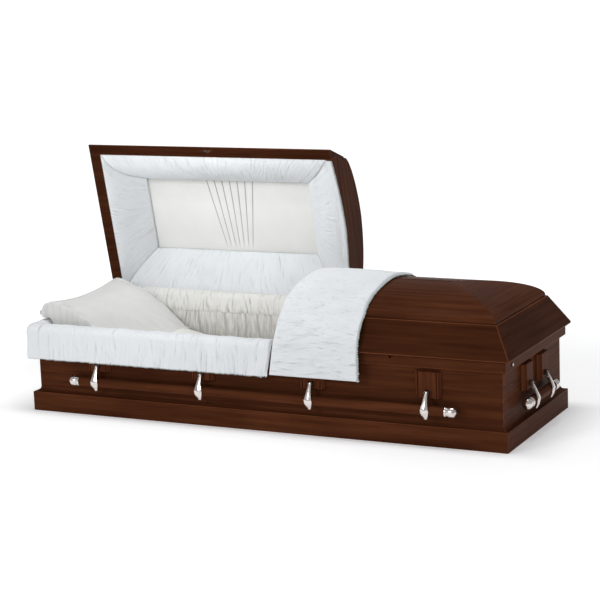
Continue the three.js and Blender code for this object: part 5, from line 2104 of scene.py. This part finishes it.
    def settle(self, obj: Object) -> None:
        """Lifts the pillow's head corners to a crest, dips its middle and lets its foot down.

        Args:
            obj: the pillow.
        """
        points = points_of(obj.data)
        x, y = points[:, 0], points[:, 1]
        facing = held(normals_of(obj.data)[:, 2] / 0.45)
        hollow = 1 - held(np.abs(y) / 0.27) ** 2
        at_head = held((-0.88 - x) / 0.12)
        at_head = at_head**2 * (3 - 2 * at_head)
        ridge = smooth_line([
            (-1.052, 0.428), (-0.995, 0.454), (-0.921, 0.429), (-0.808, 0.373), (-0.719, 0.303),
            (-0.655, 0.240),
        ], 60)
        crest = np.interp(x, ridge[:, 0], ridge[:, 1])
        crest += hollow * (0.012 * held((-0.70 - x) / 0.1) * (1 - at_head) - 0.024 * at_head)
        share = facing**2 * (3 - 2 * facing)
        points[:, 2] += (crest - points[:, 2]) * share
        points[:, 2] -= 0.034 * held((x + 0.745) / 0.09) ** 1.5 * (1 - 0.6 * share)
        edge = np.maximum(held(np.abs(y) / 0.28), held((-x - 0.86) / 0.19))
        points[:, 2] -= 0.075 * (1 - share) * edge**3 * held((-0.84 - x) / 0.12)
        ledge = held((-0.975 - x) / 0.025) * (LINING_TOP + 0.0315 - self.bed_z(x))
        points[:, 2] = np.maximum(points[:, 2], self.bed_z(x) + 0.0015 + ledge)
        points[:, 0] += 0.020 * held((x + 0.76) / 0.105) ** 2
        move(obj.data, points)
        apply(obj, "SMOOTH", factor=0.5, iterations=3)

    def pillow(self) -> None:
        """Makes the pillow, smooth with a few pulls towards its corners."""
        obj = self.stuffed("pillow", "pillow_cloth", 0.009, 0.010, 5.0, 0.012)
        self.settle(obj)

        def pulls(points: Array) -> Array:
            """Returns the wrinkles, strongest at the foot and front edges."""
            x, y, z = points.T
            slant = x * 0.80 + y * 0.60 + z * 0.2
            across = -x * 0.60 + y * 0.80
            wrinkle = np.abs(Noise(35).at(across / 0.030, slant / 0.16))
            near_foot = held((x + 0.78) / 0.22)
            near_front = held((-y - 0.12) / 0.14)
            where = np.clip(near_foot * 0.8 + near_front * 0.4, 0.12, 1)
            crease = held(1 - wrinkle * 4.5) ** 1.5
            return 0.0005 + crease * where * 0.0026

        self.crease(obj, pulls, 0.66)
        self.shop.fit(obj, "satin_cloth", Body.CASKET.value, "pillow")
        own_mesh(obj)

    def build(self) -> None:
        """Builds the bedding."""
        self.wall_lining()
        self.back_roll()
        self.mattress()
        self.pillow()
        LOG.info("bedding: lining, roll, mattress and pillow")


# Studio


@dataclass
class Studio:
    """A pale floor, soft lights and a camera where the photograph was taken from."""

    position: tuple[float, float, float] = (3.4251, -6.8147, 2.0016)
    yaw: float = 26.4407
    pitch: float = 11.4468
    roll: float = -2.2366
    focal_pixels: float = 1903.554
    frame_pixels: float = 600.0

    def camera(self) -> None:
        """Places the camera."""
        yaw, pitch, roll = (math.radians(v) for v in (self.yaw, self.pitch, self.roll))
        back = Vector((math.sin(yaw) * math.cos(pitch), -math.cos(yaw) * math.cos(pitch), math.sin(pitch)))
        level = Vector((math.cos(yaw), math.sin(yaw), 0))
        up = back.cross(level)
        right = math.cos(roll) * level + math.sin(roll) * up
        top = -math.sin(roll) * level + math.cos(roll) * up
        lens = bpy.data.cameras.new("camera")
        lens.sensor_width = 36
        lens.lens = 36 * self.focal_pixels / self.frame_pixels
        lens.clip_end = 200
        camera = bpy.data.objects.new("camera", lens)
        turn = Matrix((right, top, back)).transposed().to_4x4()
        camera.matrix_world = Matrix.Translation(self.position) @ turn
        bpy.context.scene.collection.objects.link(camera)
        bpy.context.scene.camera = camera

    @staticmethod
    def light(
        name: str, at: Sequence[float], aim: Sequence[float], size: tuple[float, float],
        power: float, spread: float = 180.0,
    ) -> None:
        """Adds one soft light.

        Args:
            name: its name.
            at: where it hangs.
            aim: what it points at.
            size: its width and height.
            power: watts.
            spread: width of its beam in degrees.
        """
        lamp = bpy.data.lights.new(name, "AREA")
        lamp.shape = "RECTANGLE"
        lamp.size, lamp.size_y = size
        lamp.energy = power
        lamp.spread = math.radians(spread)
        obj = bpy.data.objects.new(name, lamp)
        turn = (Vector(aim) - Vector(at)).to_track_quat("-Z", "Y").to_matrix().to_4x4()
        obj.matrix_world = Matrix.Translation(at) @ turn
        bpy.context.scene.collection.objects.link(obj)

    @staticmethod
    def floor() -> None:
        """Lays the floor."""
        reach = 60.0
        corners = np.array([[-reach, -reach, 0], [reach, -reach, 0], [reach, reach, 0], [-reach, reach, 0]])
        mesh = mesh_from("floor", corners, [(0, 1, 2, 3)])
        graph = Graph("studio_floor")
        haze = graph.noise(graph.place(), 3, 2)
        away = graph.spread(graph.vector("LENGTH", graph.place(), (0, 0, 0), 1), 1.1, 3.6)
        mesh.materials.append(graph.finish(
            Base_Color=graph.blend(haze, (0.90, 0.90, 0.90, 1), (0.93, 0.93, 0.93, 1)),
            Roughness=0.9, Specular_IOR_Level=0.1,
            Emission_Color=graph.blend(away, (0.40, 0.40, 0.40, 1), (1, 1, 1, 1)),
            Emission_Strength=0.70,
        ))
        add_object("floor", mesh)

    @staticmethod
    def world() -> None:
        """Sets a white surround that lights softly."""
        world = bpy.data.worlds.new("studio")
        world.use_nodes = True
        tree = Tree(world.node_tree)
        seen = tree.node("ShaderNodeBackground", {}, {0: (1, 1, 1, 1), 1: 1.05})
        glow = tree.node("ShaderNodeBackground", {}, {0: (0.97, 0.98, 1.0, 1), 1: 0.42})
        camera = tree.node("ShaderNodeLightPath").outputs["Is Camera Ray"]
        mix = tree.node("ShaderNodeMixShader", {}, {0: camera, 1: glow.outputs[0], 2: seen.outputs[0]})
        tree.node("ShaderNodeOutputWorld", {}, {0: mix.outputs[0]})
        bpy.context.scene.world = world

    def build(self) -> None:
        """Sets up the studio."""
        self.camera()
        self.floor()
        self.world()
        self.light("key", (-1.8, -4.6, 2.4), (-0.1, 0, 0.4), (1.6, 1.2), 52)
        self.light("top", (0.1, -0.2, 4.4), (0.1, 0, 0.4), (2.6, 1.2), 76)
        self.light("lining", (-0.5, -2.3, 2.2), (-0.45, 0.5, 0.66), (0.5, 0.4), 1.5, 34)
        bpy.context.scene.view_settings.view_transform = "Standard"
        LOG.info("studio ready")


def main() -> None:
    """Builds the casket, piece by piece."""
    logging.basicConfig(level=logging.INFO, format="%(message)s")
    Studio().build()
    shop = Workshop(Finishes.made(), Turnery(), SetOut())
    Carcass(shop).build()
    LidShell(shop, Body.HEAD_LID).build()
    LidShell(shop, Body.FOOT_LID).build()
    Handles(shop).build()
    Fittings(shop).build()
    LidLining(shop, Body.HEAD_LID).build()
    LidLining(shop, Body.FOOT_LID).build()
    Skirt(shop).build()
    Throw(shop).build()
    Bedding(shop).build()


if __name__ == "__main__":
    main()
